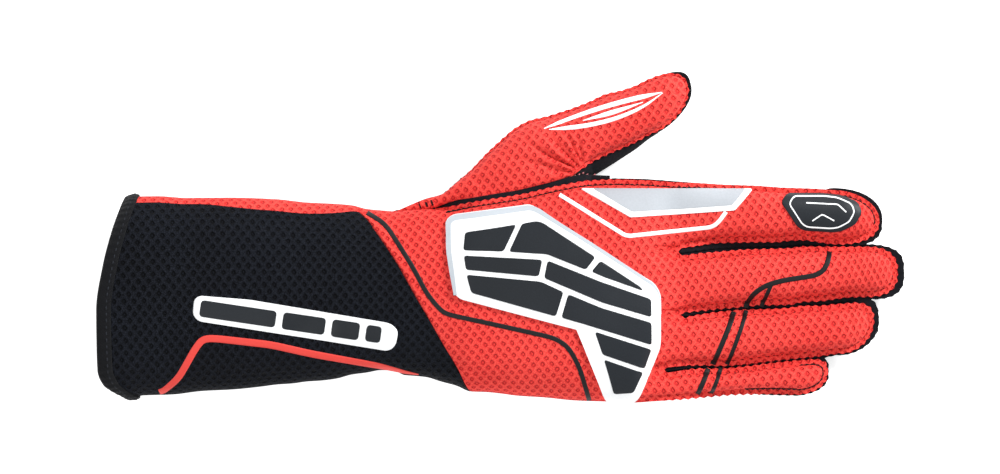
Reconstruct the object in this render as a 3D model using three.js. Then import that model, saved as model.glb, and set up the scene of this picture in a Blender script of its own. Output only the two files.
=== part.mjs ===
// Karting glove, right hand, lying palm down: fingers to +X, thumb to +Y.
// Millimetres. Every cloth panel is a curved wall, and the hand's hollow is open from cuff to fingertips.
import * as THREE from 'three';

// Lengths along the glove
const GAUNTLET_LENGTH = 120;
const HAND_LENGTH = 113;
const INDEX_LENGTH = 84;
const MIDDLE_LENGTH = 88;
const RING_LENGTH = 81;
const LITTLE_LENGTH = 66;
const THUMB_LENGTH = 53;
const SLANT_LENGTH = 42;
const MOUTH_CURVE = 11;
const CROTCH_DEPTH = 6;
const ROOT_BLEND = 17;

// Widths across the glove
const CUFF_WIDTH = 81;
const WRIST_WIDTH = 65;
const INDEX_WIDTH = 23;
const MIDDLE_WIDTH = 22.6;
const RING_WIDTH = 20.6;
const LITTLE_WIDTH = 14;
const THUMB_WIDTH = 25;
const INDEX_GAP = 3;
const MIDDLE_GAP = 2;
const RING_GAP = 1.9;

// Heights above the ground
const CUFF_HEIGHT = 27;
const WRIST_HEIGHT = 26;
const PALM_HEIGHT = 29;
const FINGER_HEIGHT = 16;
const THUMB_HEIGHT = 18;
const FINGER_SEAM = 6.5;
const THUMB_SEAM = 7;
const WEB_RISE = 6.5;
const WEB_FLOOR = 1;

// Cloth, seams and trim
const WALL = 1.2;
const SEAM_GAP = 0.3;
const LIP_WIDTH = 1.5;
const PALM_LIP = 0.45;
const TIP_REACH = 2.2;
const TAPE_WALL = 1;
const TAPE_WIDTH = 6.3;
const PATCH_THICKNESS = 1.1;
const FILM_THICKNESS = 0.8;
const FILM_GAP = 0.98;
const ARCH_POWER = 2.35;

// Directions, in degrees
const INDEX_TILT = -0.9;
const MIDDLE_TILT = 3.7;
const RING_TILT = 4.2;
const LITTLE_TILT = 3.7;
const THUMB_TILT = 23;

// The four fingers from the thumb side on: shares of each width at root, middle and tip
const FINGERS = [
  { name: 'index', length: INDEX_LENGTH, width: INDEX_WIDTH, gap: INDEX_GAP, tilt: INDEX_TILT,
    root: 1.12, middle: 1.0, tip: 0.93, rise: 1.0, crotch: 1.0 },
  { name: 'middle', length: MIDDLE_LENGTH, width: MIDDLE_WIDTH, gap: MIDDLE_GAP, tilt: MIDDLE_TILT,
    root: 1.02, middle: 1.0, tip: 0.94, rise: 1.04, crotch: 1.01 },
  { name: 'ring', length: RING_LENGTH, width: RING_WIDTH, gap: RING_GAP, tilt: RING_TILT,
    root: 0.97, middle: 1.0, tip: 0.97, rise: 1.0, crotch: 0.95 },
  { name: 'little', length: LITTLE_LENGTH, width: LITTLE_WIDTH, gap: 0, tilt: LITTLE_TILT,
    root: 0.87, middle: 0.95, tip: 1.06, rise: 0.9, crotch: 0.92 },
];
const KNUCKLE_WIDTH = FINGERS.reduce((sum, f) => sum + f.width * f.root + f.gap, 0);

// Gauntlet sections: at = share of its length from the wrist, wide and rise = share of the way from
// the wrist's size to the cuff's, side = shift to the thumb side as a share of the cuff's width
const GAUNTLET_ROWS = [
  { at: 1.0, wide: 1.0, side: -0.034, rise: 1.0, seam: 0.4, lift: 1.4 },
  { at: 0.83, wide: 0.94, side: -0.026, rise: 1.08, seam: 0.4, lift: 1.4 },
  { at: 0.72, wide: 0.82, side: -0.018, rise: 1.2, seam: 0.4, lift: 0 },
  { at: 0.65, wide: 0.76, side: -0.015, rise: 1.3, seam: 0.4, lift: 0 },
  { at: 0.45, wide: 0.66, side: -0.005, rise: 1.2, seam: 0.4, lift: 0 },
  { at: 0.3, wide: 0.42, side: -0.006, rise: 0.7, seam: 0.4, lift: 0 },
  { at: 0.15, wide: 0.18, side: 0.006, rise: 0.2, seam: 0.39, lift: 0 },
  { at: 0.05, wide: 0.02, side: 0.0, rise: 0.0, seam: 0.38, lift: 0 },
];

// Hand sections: at = share of its length from the wrist, wide = share of the way from the wrist's
// width to the knuckles', rise = share of the palm's height
const HAND_ROWS = [
  { at: 0.0, wide: 0.0, side: -0.002, rise: 0.9, seam: 0.37 },
  { at: 0.1, wide: 0.12, side: -0.012, rise: 0.93, seam: 0.36 },
  { at: 0.26, wide: 0.5, side: -0.026, rise: 0.99, seam: 0.35 },
  { at: 0.48, wide: 0.72, side: -0.012, rise: 1.0, seam: 0.34 },
  { at: 0.58, wide: 0.86, side: -0.002, rise: 1.0, seam: 0.34 },
  { at: 0.69, wide: 0.99, side: 0.007, rise: 0.96, seam: 0.34 },
  { at: 0.85, wide: 1.01, side: 0.003, rise: 0.83, seam: 0.34 },
  { at: 1.0, wide: 0.99, side: 0.001, rise: 0.66, seam: 0.36 },
  { at: 1.1, wide: 0.98, side: 0.001, rise: 0.6, seam: 0.38 },
];

// The cuff's edge over the back: across = -1 at the little finger's side to 1 at the thumb's,
// back = how far it draws back, as a share of the mouth's curve
const MOUTH_ROWS = [
  { at: -1.0, back: 0.9 },
  { at: -0.93, back: 0.5 },
  { at: -0.84, back: 0.22 },
  { at: -0.66, back: 0.06 },
  { at: -0.1, back: 0.04 },
  { at: 0.37, back: 0.35 },
  { at: 0.67, back: 0.62 },
  { at: 1.0, back: 1.0 },
];

// The red side strip's upper edge along the gauntlet, in degrees above the thumb side
const STRIP_ROWS = [
  { at: 1.0, angle: 20 },
  { at: 0.8, angle: 27 },
  { at: 0.5, angle: 36 },
  { at: 0.25, angle: 31 },
  { at: 0.0, angle: 24 },
];
const STRIP_FOOT = -18;

// The thumb's base along its seam with the hand: back and out = the outer edge's place, as shares of
// the thumb's width, rise = share of the thumb's height
const BASE_ROWS = [
  { at: 0.0, back: -0.05, out: 0.1, rise: 0.55 },
  { at: 0.2, back: -0.19, out: 0.32, rise: 0.8 },
  { at: 0.42, back: -0.29, out: 0.58, rise: 1.02 },
  { at: 0.62, back: -0.35, out: 0.85, rise: 1.16 },
  { at: 0.82, back: -0.38, out: 1.0, rise: 1.18 },
  { at: 1.0, back: -0.37, out: 1.03, rise: 1.12 },
];

// The free thumb: middle and half = centre line and half width as shares of its width, inset and
// raise = where the back's inner edge lies on the thumb's top
const THUMB_ROWS = [
  { at: 0.0, middle: 0.53, half: 0.53, rise: 1.1, inset: 0.16, raise: 0.3 },
  { at: 0.15, middle: 0.52, half: 0.53, rise: 1.06, inset: 0.2, raise: 0.34 },
  { at: 0.3, middle: 0.54, half: 0.5, rise: 1.0, inset: 0.16, raise: 0.26 },
  { at: 0.5, middle: 0.536, half: 0.455, rise: 0.94, inset: 0.1, raise: 0.14 },
  { at: 0.69, middle: 0.575, half: 0.42, rise: 0.88, inset: 0.05, raise: 0.06 },
  { at: 1.0, middle: 0.66, half: 0.39, rise: 0.8, inset: 0.02, raise: 0.02 },
];

// Where the thumb's opening starts, begins to close and ends, as shares of the hand's length
const WEB = { start: 0.16, full: 0.36, close: 0.62, end: 0.69 };

// Outlines of the films on the back: along = share of the hand's length from the wrist,
// across = share of the half width, from the middle to the thumb side
const KNUCKLE_OUTLINE = [
  { along: 0.173, across: 0.8 }, { along: 0.187, across: 0.84 }, { along: 0.32, across: 0.89 },
  { along: 0.463, across: 0.85 }, { along: 0.484, across: 0.83 }, { along: 0.7, across: 0.385 },
  { along: 0.905, across: 0.055 }, { along: 0.926, across: -0.02 }, { along: 0.93, across: -0.5 },
  { along: 0.9, across: -0.78 }, { along: 0.852, across: -0.95 }, { along: 0.75, across: -0.95 },
  { along: 0.731, across: -0.9 }, { along: 0.67, across: -0.385 }, { along: 0.45, across: -0.19 },
  { along: 0.228, across: -0.04 }, { along: 0.201, across: 0.04 },
];
const KNUCKLE_CENTRE = { along: 0.69, across: -0.1 };

// Outlines on the index finger: along = share of its length from the root, across = share of its
// half width
const INDEX_OUTLINE = [
  { along: -0.44, across: 0.7 }, { along: -0.2, across: 0.74 }, { along: 0.1, across: 0.76 },
  { along: 0.35, across: 0.78 }, { along: 0.26, across: 0.12 }, { along: 0.0, across: -0.02 },
  { along: -0.23, across: -0.1 },
];
const INDEX_CENTRE = { along: 0.02, across: 0.4 };
const TIP_OUTLINE = [
  { along: 0.515, across: 0.78 }, { along: 0.69, across: 0.8 }, { along: 0.78, across: 0.76 },
  { along: 0.855, across: 0.52 }, { along: 0.875, across: 0.16 }, { along: 0.84, across: -0.3 },
  { along: 0.775, across: -0.56 }, { along: 0.73, across: -0.62 }, { along: 0.59, across: -0.54 },
  { along: 0.56, across: -0.38 }, { along: 0.51, across: 0.2 }, { along: 0.485, across: 0.5 },
];
const TIP_CENTRE = { along: 0.68, across: 0.1 };

const rad = (degrees) => degrees * Math.PI / 180;
const mix = (a, b, t) => a + (b - a) * t;
const clamp = (v, lo, hi) => Math.min(hi, Math.max(lo, v));
const ease = (a, b, v) => {
  const t = clamp((v - a) / (b - a), 0, 1);
  return t * t * (3 - 2 * t);
};
const power = (v, p) => Math.sign(v) * Math.abs(v) ** p;
const arch = (q, p = ARCH_POWER) => Math.max(0, 1 - Math.abs(q) ** p) ** (1 / p);
const flat = (q, p, share) => Math.min(1, arch(q, p) / share);

// A smooth curve through the rows of a table, with no overshoot
function along(rows, key, at) {
  const last = rows.length - 1;
  if (at <= rows[0].at) return rows[0][key];
  if (at >= rows[last].at) return rows[last][key];
  const step = (i) => rows[i + 1].at - rows[i].at;
  const slope = (i) => (rows[i + 1][key] - rows[i][key]) / step(i);
  const tangent = (i) => {
    if (i === 0) return slope(0);
    if (i === last) return slope(last - 1);
    const [a, b] = [slope(i - 1), slope(i)];
    if (a * b <= 0) return 0;
    const [wa, wb] = [2 * step(i) + step(i - 1), step(i) + 2 * step(i - 1)];
    return (wa + wb) / (wa / a + wb / b);
  };
  let i = 0;
  while (rows[i + 1].at < at) i += 1;
  const h = step(i);
  const t = (at - rows[i].at) / h;
  return rows[i][key] * (1 + 2 * t) * (1 - t) ** 2 + h * tangent(i) * t * (1 - t) ** 2
    + rows[i + 1][key] * t * t * (3 - 2 * t) + h * tangent(i + 1) * t * t * (t - 1);
}
const rising = (rows) => [...rows].sort((a, b) => a.at - b.at);

// The sleeve's sections from cuff to knuckles, in real sizes, with x = 0 at the wrist
const SECTIONS = rising([
  ...GAUNTLET_ROWS.map((r) => ({
    at: -r.at * GAUNTLET_LENGTH,
    half: mix(WRIST_WIDTH, CUFF_WIDTH, r.wide) / 2,
    centre: r.side * CUFF_WIDTH,
    top: mix(WRIST_HEIGHT, CUFF_HEIGHT, r.rise),
    seam: r.seam * mix(WRIST_HEIGHT, CUFF_HEIGHT, r.rise),
    lift: r.lift,
  })),
  ...HAND_ROWS.map((r) => ({
    at: r.at * HAND_LENGTH,
    half: mix(WRIST_WIDTH, KNUCKLE_WIDTH, r.wide) / 2,
    centre: r.side * KNUCKLE_WIDTH,
    top: mix(WRIST_HEIGHT, PALM_HEIGHT * r.rise, ease(0, 0.2, r.at)),
    seam: r.seam * PALM_HEIGHT,
    lift: 0,
  })),
]);
const sectionAt = (x) => ({
  half: along(SECTIONS, 'half', x),
  centre: along(SECTIONS, 'centre', x),
  top: along(SECTIONS, 'top', x),
  seam: along(SECTIONS, 'seam', x),
  lift: along(SECTIONS, 'lift', x),
});

// A point on the closed sleeve: 0 degrees at the thumb side, 90 on top, 270 below
function sleeve(x, degrees) {
  const s = sectionAt(x);
  const sine = Math.sin(rad(degrees));
  const cosine = Math.cos(rad(degrees));
  const up = Math.abs(sine) ** (2 / ARCH_POWER);
  const y = s.centre + s.half * power(cosine, 2 / ARCH_POWER);
  const z = sine >= 0
    ? mix(s.seam, s.top, up)
    : mix(s.seam, s.lift, Math.min(1, up / 0.9));
  return new THREE.Vector3(x, y, z);
}

// The same point moved out of the cloth by a distance
function sleeveOut(x, degrees, out) {
  const dx = sleeve(x + 0.5, degrees).sub(sleeve(x - 0.5, degrees));
  const dt = sleeve(x, degrees + 0.5).sub(sleeve(x, degrees - 0.5));
  return sleeve(x, degrees).addScaledVector(dt.cross(dx).normalize(), out);
}
const acrossOf = (degrees) => power(Math.cos(rad(degrees)), 2 / ARCH_POWER);

// Walls that close on themselves: a sheet's faces, the same faces set back by the wall, and its rim
class Sheet {
  constructor() {
    this.points = [];
    this.backs = [];
    this.faces = [];
    this.known = new Map();
  }

  point(p) {
    const key = [p.x, p.y, p.z].map((v) => (Math.round(v * 500) / 500 + 0).toFixed(3)).join(' ');
    if (!this.known.has(key)) {
      this.known.set(key, this.points.length);
      this.points.push(p.clone());
      this.backs.push(p.back);
    }
    return this.known.get(key);
  }

  face(a, b, c) {
    if (a !== b && b !== c && c !== a) this.faces.push([a, b, c]);
  }

  // A grid of points, rows along and columns across, where null leaves a point out
  grid(rows) {
    const ids = rows.map((row) => row.map((p) => (p ? this.point(p) : -1)));
    for (let i = 0; i + 1 < ids.length; i += 1) {
      for (let j = 0; j + 1 < ids[i].length; j += 1) {
        const [a, b, c, d] = [ids[i][j], ids[i + 1][j], ids[i + 1][j + 1], ids[i][j + 1]];
        if (Math.min(a, b, c, d) < 0) continue;
        this.face(a, b, c);
        this.face(a, c, d);
      }
    }
    return this;
  }

  turned() {
    this.faces = this.faces.map(([a, b, c]) => [a, c, b]);
    return this;
  }

  normals() {
    const sums = this.points.map(() => new THREE.Vector3());
    for (const ids of this.faces) {
      const corner = ids.map((i) => this.points[i]);
      for (let k = 0; k < 3; k += 1) {
        const u = corner[(k + 1) % 3].clone().sub(corner[k]);
        const v = corner[(k + 2) % 3].clone().sub(corner[k]);
        const bend = u.angleTo(v);
        sums[ids[k]].addScaledVector(u.cross(v).normalize(), bend || 0);
      }
    }
    return sums.map((n) => n.normalize());
  }

  thick(wall) {
    const n = this.points.length;
    const normal = this.normals();
    const inner = this.points.map((p, i) => this.backs[i] || p.clone().addScaledVector(normal[i], -wall));
    const edges = new Set();
    for (const [a, b, c] of this.faces) [[a, b], [b, c], [c, a]].forEach((e) => edges.add(e.join()));
    const faces = [];
    for (const [a, b, c] of this.faces) {
      faces.push([a, b, c], [a + n, c + n, b + n]);
      for (const [p, q] of [[a, b], [b, c], [c, a]]) {
        if (!edges.has([q, p].join())) faces.push([q, p, p + n], [q, p + n, q + n]);
      }
    }
    return solid([...this.points, ...inner], faces);
  }
}

function solid(points, faces) {
  const geometry = new THREE.BufferGeometry();
  const flatPoints = points.flatMap((p) => [p.x, p.y, p.z]);
  geometry.setAttribute('position', new THREE.Float32BufferAttribute(flatPoints, 3));
  let volume = 0;
  for (const [a, b, c] of faces) {
    volume += points[a].dot(new THREE.Vector3().crossVectors(points[b], points[c]));
  }
  const out = volume > 0 ? faces : faces.map(([a, b, c]) => [a, c, b]);
  geometry.setIndex(out.flat());
  geometry.computeVertexNormals();
  return geometry;
}

// Steps from 0 to 1
const steps = (n) => Array.from({ length: n + 1 }, (_, i) => i / n);

// The slanted edge between gauntlet and hand back, by share across
const slantEdge = (across) => SLANT_LENGTH * (0.13 - 0.5 * across);
const nearEdge = (across) => slantEdge(across) + 2 * SEAM_GAP;
const mouthEdge = (degrees) => {
  const back = along(rising(MOUTH_ROWS), 'back', acrossOf(degrees));
  const below = ease(0, 0.5, -Math.sin(rad(degrees)));
  return TAPE_WALL + SEAM_GAP - GAUNTLET_LENGTH + MOUTH_CURVE * mix(back, 1, below);
};
const stripAngle = (x) => along(rising(STRIP_ROWS), 'angle', clamp(-x / GAUNTLET_LENGTH, 0, 1));
const gapAngle = (x) => SEAM_GAP / sectionAt(x).half * 180 / Math.PI;

// A gauntlet panel between two angles, from the mouth to its far edge
function gauntletPanel(from, to, far, rows, columns) {
  const points = steps(rows).map((u) => steps(columns).map((w) => {
    const angleAt = (x) => mix(from(x) + gapAngle(x), to(x) - gapAngle(x), w);
    let x = -GAUNTLET_LENGTH * (1 - u);
    for (let turn = 0; turn < 8; turn += 1) {
      x = mix(mouthEdge(angleAt(x)), far(angleAt(x)) - 2.7 * SEAM_GAP, u);
    }
    const p = sleeve(x, angleAt(x));
    p.back = sleeveOut(x, angleAt(x), -WALL);
    return p;
  }));
  return new Sheet().grid(points).turned().thick(WALL);
}

// How far the thumb's opening parts the hand's two edges, 0 to 1
function webOpen(x) {
  const share = x / HAND_LENGTH;
  if (share <= WEB.start || share >= WEB.end) return 0;
  const closing = clamp((share - WEB.close) / (WEB.end - WEB.close), 0, 1);
  return Math.sin(Math.PI / 2 * clamp((share - WEB.start) / (WEB.full - WEB.start), 0, 1))
    * Math.sqrt(1 - closing);
}
const LIP_LEVEL = SEAM_GAP / 2 + WALL;
const lipAt = (x) => LIP_WIDTH * mix(0.35, 1, ease(0, 0.3, x / HAND_LENGTH));
const backRim = (x) => sectionAt(x).seam + LIP_LEVEL + WEB_RISE * webOpen(x);
const palmRim = (x) => mix(sectionAt(x).seam - LIP_LEVEL, WEB_FLOOR, webOpen(x));

// Height of the hand's back and of its palm over a place in plan
function palmHeight(x, y, top) {
  const s = sectionAt(x);
  const q = clamp((y - s.centre) / (s.half - lipAt(x)), -1, 1);
  const side = ease(-0.1, 1, q);
  if (top) {
    const rim = mix(s.seam + LIP_LEVEL, backRim(x), side);
    return mix(rim, s.top, arch(q));
  }
  const rim = mix(s.seam - LIP_LEVEL, palmRim(x), side);
  return rim * (1 - flat(q, 4, 0.9));
}

// Strips of the hand: where each finger's share of the width begins and ends
const EDGES = [1];
FINGERS.forEach((f, i) => {
  const before = i ? FINGERS[i - 1].gap / 2 : 0;
  EDGES.push(EDGES[i] - 2 * (f.width * f.root + before + f.gap / 2) / KNUCKLE_WIDTH);
});
const CROTCH_ROWS = rising([
  { at: 1, x: FINGERS[0].crotch },
  ...FINGERS.map((f, i) => ({ at: EDGES[i + 1], x: f.crotch })),
]);
const rootEdge = (across) => HAND_LENGTH * along(CROTCH_ROWS, 'x', across);
const stripAcross = (i, e) => mix(EDGES[i + 1], EDGES[i], (e + 1) / 2);

// A finger's own plan: root centre, axis and half width
const PLANS = FINGERS.map((f, i) => {
  const across = stripAcross(i, 0);
  const x = rootEdge(across);
  const s = sectionAt(x);
  const rows = [{ at: 0, w: f.root }, { at: 0.35, w: f.middle }, { at: 1, w: f.tip }];
  return {
    x,
    y: s.centre + s.half * across,
    ux: Math.cos(rad(f.tilt)),
    uy: Math.sin(rad(f.tilt)),
    half: (share) => along(rows, 'w', share) * f.width / 2,
  };
});

// Rows along a finger: share of its length, and how far its outline is still open there
function fingerRows(length, round, straight, tip) {
  const start = 1 - round / length;
  const rows = [{ s: 0, open: 1 }, { s: 0.35 * CROTCH_DEPTH / length, open: 1 }];
  const first = CROTCH_DEPTH / length;
  steps(straight).slice(0, -1).forEach((t) => rows.push({ s: mix(first, start, t), open: 1 }));
  steps(tip).forEach((t) => {
    const turn = t * Math.PI / 2;
    rows.push({
      s: mix(start, 1, Math.sin(turn) ** (2 / 2.5)),
      open: t === 1 ? 0 : Math.cos(turn) ** (2 / 2.5),
    });
  });
  return rows;
}

// Columns across a strip: lip edge, foot of the arch, arch, foot and lip edge again
const columnsOf = (cells) => [
  { e: -1, lip: true },
  ...steps(cells).map((t) => ({ e: Math.sin(rad(mix(-90, 90, t))), lip: false })),
  { e: 1, lip: true },
];

// A point of finger i, on its back or on its palm side
function fingerPoint(i, row, column, top) {
  const f = FINGERS[i];
  const plan = PLANS[i];
  const extra = top ? 0 : PALM_LIP;
  const reach = f.length + (top ? 0 : TIP_REACH);
  const half = plan.half(row.s) + extra;
  const lip = LIP_WIDTH;
  const tipShare = clamp((row.s * f.length - (f.length - f.width / 2)) / (f.width / 2), 0, 1);
  const outX = row.s * reach - (column.lip ? 0 : lip * tipShare);
  const outY = (column.lip ? half * column.e : (half - lip) * column.e) * row.open;
  const share = (column.lip ? column.e : column.e * (1 - lip / half));
  const across = stripAcross(i, share);
  const rx = rootEdge(across);
  const section = sectionAt(rx);
  const ry = section.centre + section.half * across
    + (i === 0 && share > 0.5 ? extra : 0) - (i === 3 && share < -0.5 ? extra : 0);
  const slow = Math.max(0, 1 - row.s / 0.3) ** 2;
  const quick = Math.max(0, 1 - row.s * f.length / CROTCH_DEPTH) ** 2;
  const dx = rx - (plan.x - plan.uy * outY);
  const dy = ry - (plan.y + plan.ux * outY);
  const x = plan.x + plan.ux * outX - plan.uy * outY + dx * slow;
  const y = plan.y + plan.uy * outX + plan.ux * outY + dy * quick;
  const nose = arch(clamp((row.s * f.length - (f.length - f.width * 0.62)) / (f.width * 0.62), 0, 1), 2.2);
  const height = FINGER_HEIGHT * f.rise * mix(1, 0.84, row.s);
  if (top) {
    const rim = FINGER_SEAM + LIP_LEVEL;
    return new THREE.Vector3(x, y, column.lip ? rim : mix(rim, height, nose * arch(column.e)));
  }
  const rim = FINGER_SEAM - LIP_LEVEL;
  return new THREE.Vector3(x, y, column.lip ? rim : rim * (1 - nose * flat(column.e, 2.6, 0.86)));
}

// A point of strip i in the hand, from its near edge (0) to the fingers' roots (1)
function handPoint(i, t, column, near, top) {
  const extra = top ? 0 : PALM_LIP;
  const lipShare = LIP_WIDTH / PLANS[i].half(0);
  const share = column.lip ? column.e : column.e * (1 - lipShare);
  const across = stripAcross(i, share);
  const x = mix(near(across), rootEdge(across), t);
  const s = sectionAt(x);
  const outer = (i === 0 && column.e > 0.99) || (i === 3 && column.e < -0.99);
  let y = s.centre + s.half * across;
  if (outer && !column.lip) y = s.centre + Math.sign(across) * (s.half - lipAt(x));
  if (outer) y += Math.sign(across) * extra * (across > 0 ? 1 - webOpen(x) : 1);
  const rim = across > 0 ? (top ? backRim(x) : palmRim(x)) : s.seam + (top ? LIP_LEVEL : -LIP_LEVEL);
  const hand = outer ? rim : palmHeight(x, y, top);
  const finger = fingerPoint(i, { s: 0, open: 1 }, column, top);
  const blend = ease(-ROOT_BLEND, 0, x - rootEdge(across));
  if (t === 1) return finger;
  return new THREE.Vector3(x, y, mix(hand, finger.z, blend));
}

// Rows along the hand, set by the thumb's opening on its edge, as shares from a near edge to the roots
const WEB_STATIONS = steps(5).map((t) => mix(WEB.start, WEB.close, t) * HAND_LENGTH);
function handStations(nearX) {
  const far = rootEdge(1);
  const before = steps(4).map((t) => mix(-SLANT_LENGTH / 2, WEB.start * HAND_LENGTH, t)).slice(0, -1);
  const closing = steps(2).map((t) => mix(WEB.close, WEB.end, t) * HAND_LENGTH).slice(1);
  const after = steps(4).map((t) => mix(WEB.end * HAND_LENGTH, far, t)).slice(1);
  return [...before, ...WEB_STATIONS, ...closing, ...after]
    .map((x) => (x - nearX) / (far - nearX))
    .filter((t) => t > 0.02)
    .map((t) => Math.min(1, t));
}

// The hand's back or palm with its four fingers, as one sheet
function handSheet(near, top, cells, straight, tip) {
  const sheet = new Sheet();
  const columns = columnsOf(cells);
  const rows = [0, ...handStations(near(1))];
  FINGERS.forEach((f, i) => {
    const hand = rows.map((t) => columns.map((c) => handPoint(i, t, c, near, top)));
    const finger = fingerRows(f.length, f.width / 2, straight, tip)
      .slice(1).map((row) => columns.map((c) => fingerPoint(i, row, c, top)));
    sheet.grid([...hand, ...finger]);
  });
  return sheet;
}

// The thumb's frame: its crotch, its axis and the seam where its base meets the hand
const WEB_X = WEB.end * HAND_LENGTH;
const THUMB_ORIGIN = new THREE.Vector3(WEB_X - 2, sectionAt(WEB_X).centre + sectionAt(WEB_X).half + 2, 0);
const THUMB_AXIS = new THREE.Vector3(Math.cos(rad(THUMB_TILT)), Math.sin(rad(THUMB_TILT)), 0);
const THUMB_SIDE = new THREE.Vector3(-THUMB_AXIS.y, THUMB_AXIS.x, 0);
const WELT_WIDTH = 2;
const WELT_WALL = 1;

// The thumb's base, share t along its seam: outer edge and the two edges at the hand
function baseSection(x) {
  const t = (x / HAND_LENGTH - WEB.start) / (WEB.close - WEB.start);
  const s = sectionAt(x);
  const seam = s.centre + s.half;
  const outer = new THREE.Vector3(
    x + along(BASE_ROWS, 'back', t) * THUMB_WIDTH,
    seam + along(BASE_ROWS, 'out', t) * THUMB_WIDTH,
    mix(s.seam, THUMB_SEAM, ease(0, 0.6, t)),
  );
  return {
    outer,
    upper: new THREE.Vector3(x, seam + WELT_WIDTH + 2 * SEAM_GAP, backRim(x) - WALL / 2),
    lower: new THREE.Vector3(x, seam + 2 * SEAM_GAP, palmRim(x)),
    height: along(BASE_ROWS, 'rise', t) * THUMB_HEIGHT,
    free: 0,
    nose: 1,
    lip: LIP_WIDTH * mix(0.3, 1, ease(0, 0.3, t)),
  };
}

// The free thumb, at one row of its outline
function thumbSection(row, top) {
  const reach = THUMB_LENGTH + (top ? 0 : TIP_REACH / 2);
  const half = along(THUMB_ROWS, 'half', row.s) * THUMB_WIDTH;
  const middle = along(THUMB_ROWS, 'middle', row.s) * THUMB_WIDTH;
  const tipShare = clamp((row.s - 0.75) / 0.25, 0, 1);
  const at = (along2, side, z) => THUMB_ORIGIN.clone()
    .addScaledVector(THUMB_AXIS, along2).addScaledVector(THUMB_SIDE, side).setZ(z);
  const spine = row.s * reach - LIP_WIDTH * tipShare;
  const inset = along(THUMB_ROWS, 'inset', row.s) * THUMB_WIDTH * row.open;
  const raise = along(THUMB_ROWS, 'raise', row.s) * THUMB_HEIGHT * row.open;
  const foot = (half - LIP_WIDTH) * row.open;
  return {
    outer: at(spine, middle + foot, THUMB_SEAM),
    upper: at(spine, middle - foot + inset, THUMB_SEAM + raise),
    lower: at(spine, middle - foot, THUMB_SEAM - LIP_LEVEL),
    outerLip: at(row.s * reach, middle + half * row.open, THUMB_SEAM),
    upperLip: at(row.s * reach, middle - half * row.open + inset, THUMB_SEAM + raise),
    height: along(THUMB_ROWS, 'rise', row.s) * THUMB_HEIGHT,
    free: ease(0, 0.15, row.s),
    nose: arch(clamp((row.s - 0.76) / 0.24, 0, 1), 2.2),
    lip: LIP_WIDTH,
  };
}

function thumbBackRow(s, cells) {
  const lift = (p) => p.clone().setZ(p.z + LIP_LEVEL);
  const outer = lift(s.outer);
  const upper = s.free || s.upperLip ? lift(s.upper) : s.upper;
  const outward = new THREE.Vector3().subVectors(s.outer, s.upper).setZ(0).normalize();
  const outerLip = s.outerLip ? lift(s.outerLip) : outer.clone();
  const foot = s.outerLip ? outer : outer.clone().addScaledVector(outward, -s.lip);
  const row = [outerLip];
  steps(cells).forEach((t) => {
    const across = (1 - Math.cos(Math.PI * t)) / 2;
    const base = mix(foot.z, upper.z, across);
    const p = foot.clone().lerp(upper, across);
    const bow = Math.abs(Math.sin(Math.PI * t)) ** (2 / ARCH_POWER);
    row.push(p.setZ(mix(base, Math.max(s.height, base), bow * s.nose)));
  });
  row.push(s.upperLip ? lift(s.upperLip) : upper.clone());
  return row;
}

function thumbPalmRow(s, cells, side) {
  const drop = (p, k = 1) => p.clone().setZ(p.z - LIP_LEVEL * k);
  const outward = new THREE.Vector3().subVectors(s.outer, s.upper).setZ(0).normalize();
  const outerLip = drop(s.outerLip || s.outer).addScaledVector(outward, PALM_LIP);
  const foot = s.outerLip ? drop(s.outer) : drop(s.outer).addScaledVector(outward, -s.lip);
  const lower = s.outerLip ? s.lower : s.lower;
  const row = [outerLip];
  steps(cells).forEach((t) => {
    const across = (1 - Math.cos(Math.PI * t)) / 2;
    const base = mix(foot.z, lower.z, across);
    const p = foot.clone().lerp(lower, across);
    const bow = Math.min(1, Math.abs(Math.sin(Math.PI * t)) ** (2 / ARCH_POWER) / 0.8);
    row.push(p.setZ(base * (1 - bow * s.nose)));
  });
  if (!side) return [...row, null, null, null];
  const upper = drop(s.upperLip ? s.upper : s.upper.clone().setZ(s.upper.z), 1);
  row.push(lower.clone().lerp(upper, 0.5));
  row.push(upper);
  row.push(s.upperLip ? drop(s.upperLip).addScaledVector(outward, -PALM_LIP) : upper.clone());
  return row;
}

function thumbSections(straight, tip, top) {
  const base = WEB_STATIONS.map((x) => baseSection(x));
  const free = fingerRows(THUMB_LENGTH, THUMB_WIDTH / 2, straight, tip).slice(2);
  return { base, free: free.map((row) => thumbSection(row, top)) };
}

const thumbRows = thumbSections(5, 5, true);
const thumbBack = new Sheet()
  .grid([...thumbRows.base, ...thumbRows.free].map((s) => thumbBackRow(s, 8)))
  .turned().thick(WALL);
const palmRows = thumbSections(5, 5, false);
const thumbPalm = new Sheet().grid([
  ...palmRows.base.map((s, i) => thumbPalmRow(s, 8, i === palmRows.base.length - 1)),
  ...palmRows.free.map((s) => thumbPalmRow(s, 8, true)),
]).thick(WALL);

// The black welt that shows between the hand's back and the thumb
const weltRows = WEB_STATIONS.slice(1).map((x) => {
  const s = sectionAt(x);
  const y = s.centre + s.half;
  const z = backRim(x) - WALL - 2 * SEAM_GAP;
  return [y - lipAt(x) * 0.3, y + WELT_WIDTH * 0.5, y + WELT_WIDTH].map((v) => new THREE.Vector3(x, v, z));
});
const welt = new Sheet().grid(weltRows).thick(WELT_WALL);

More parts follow.
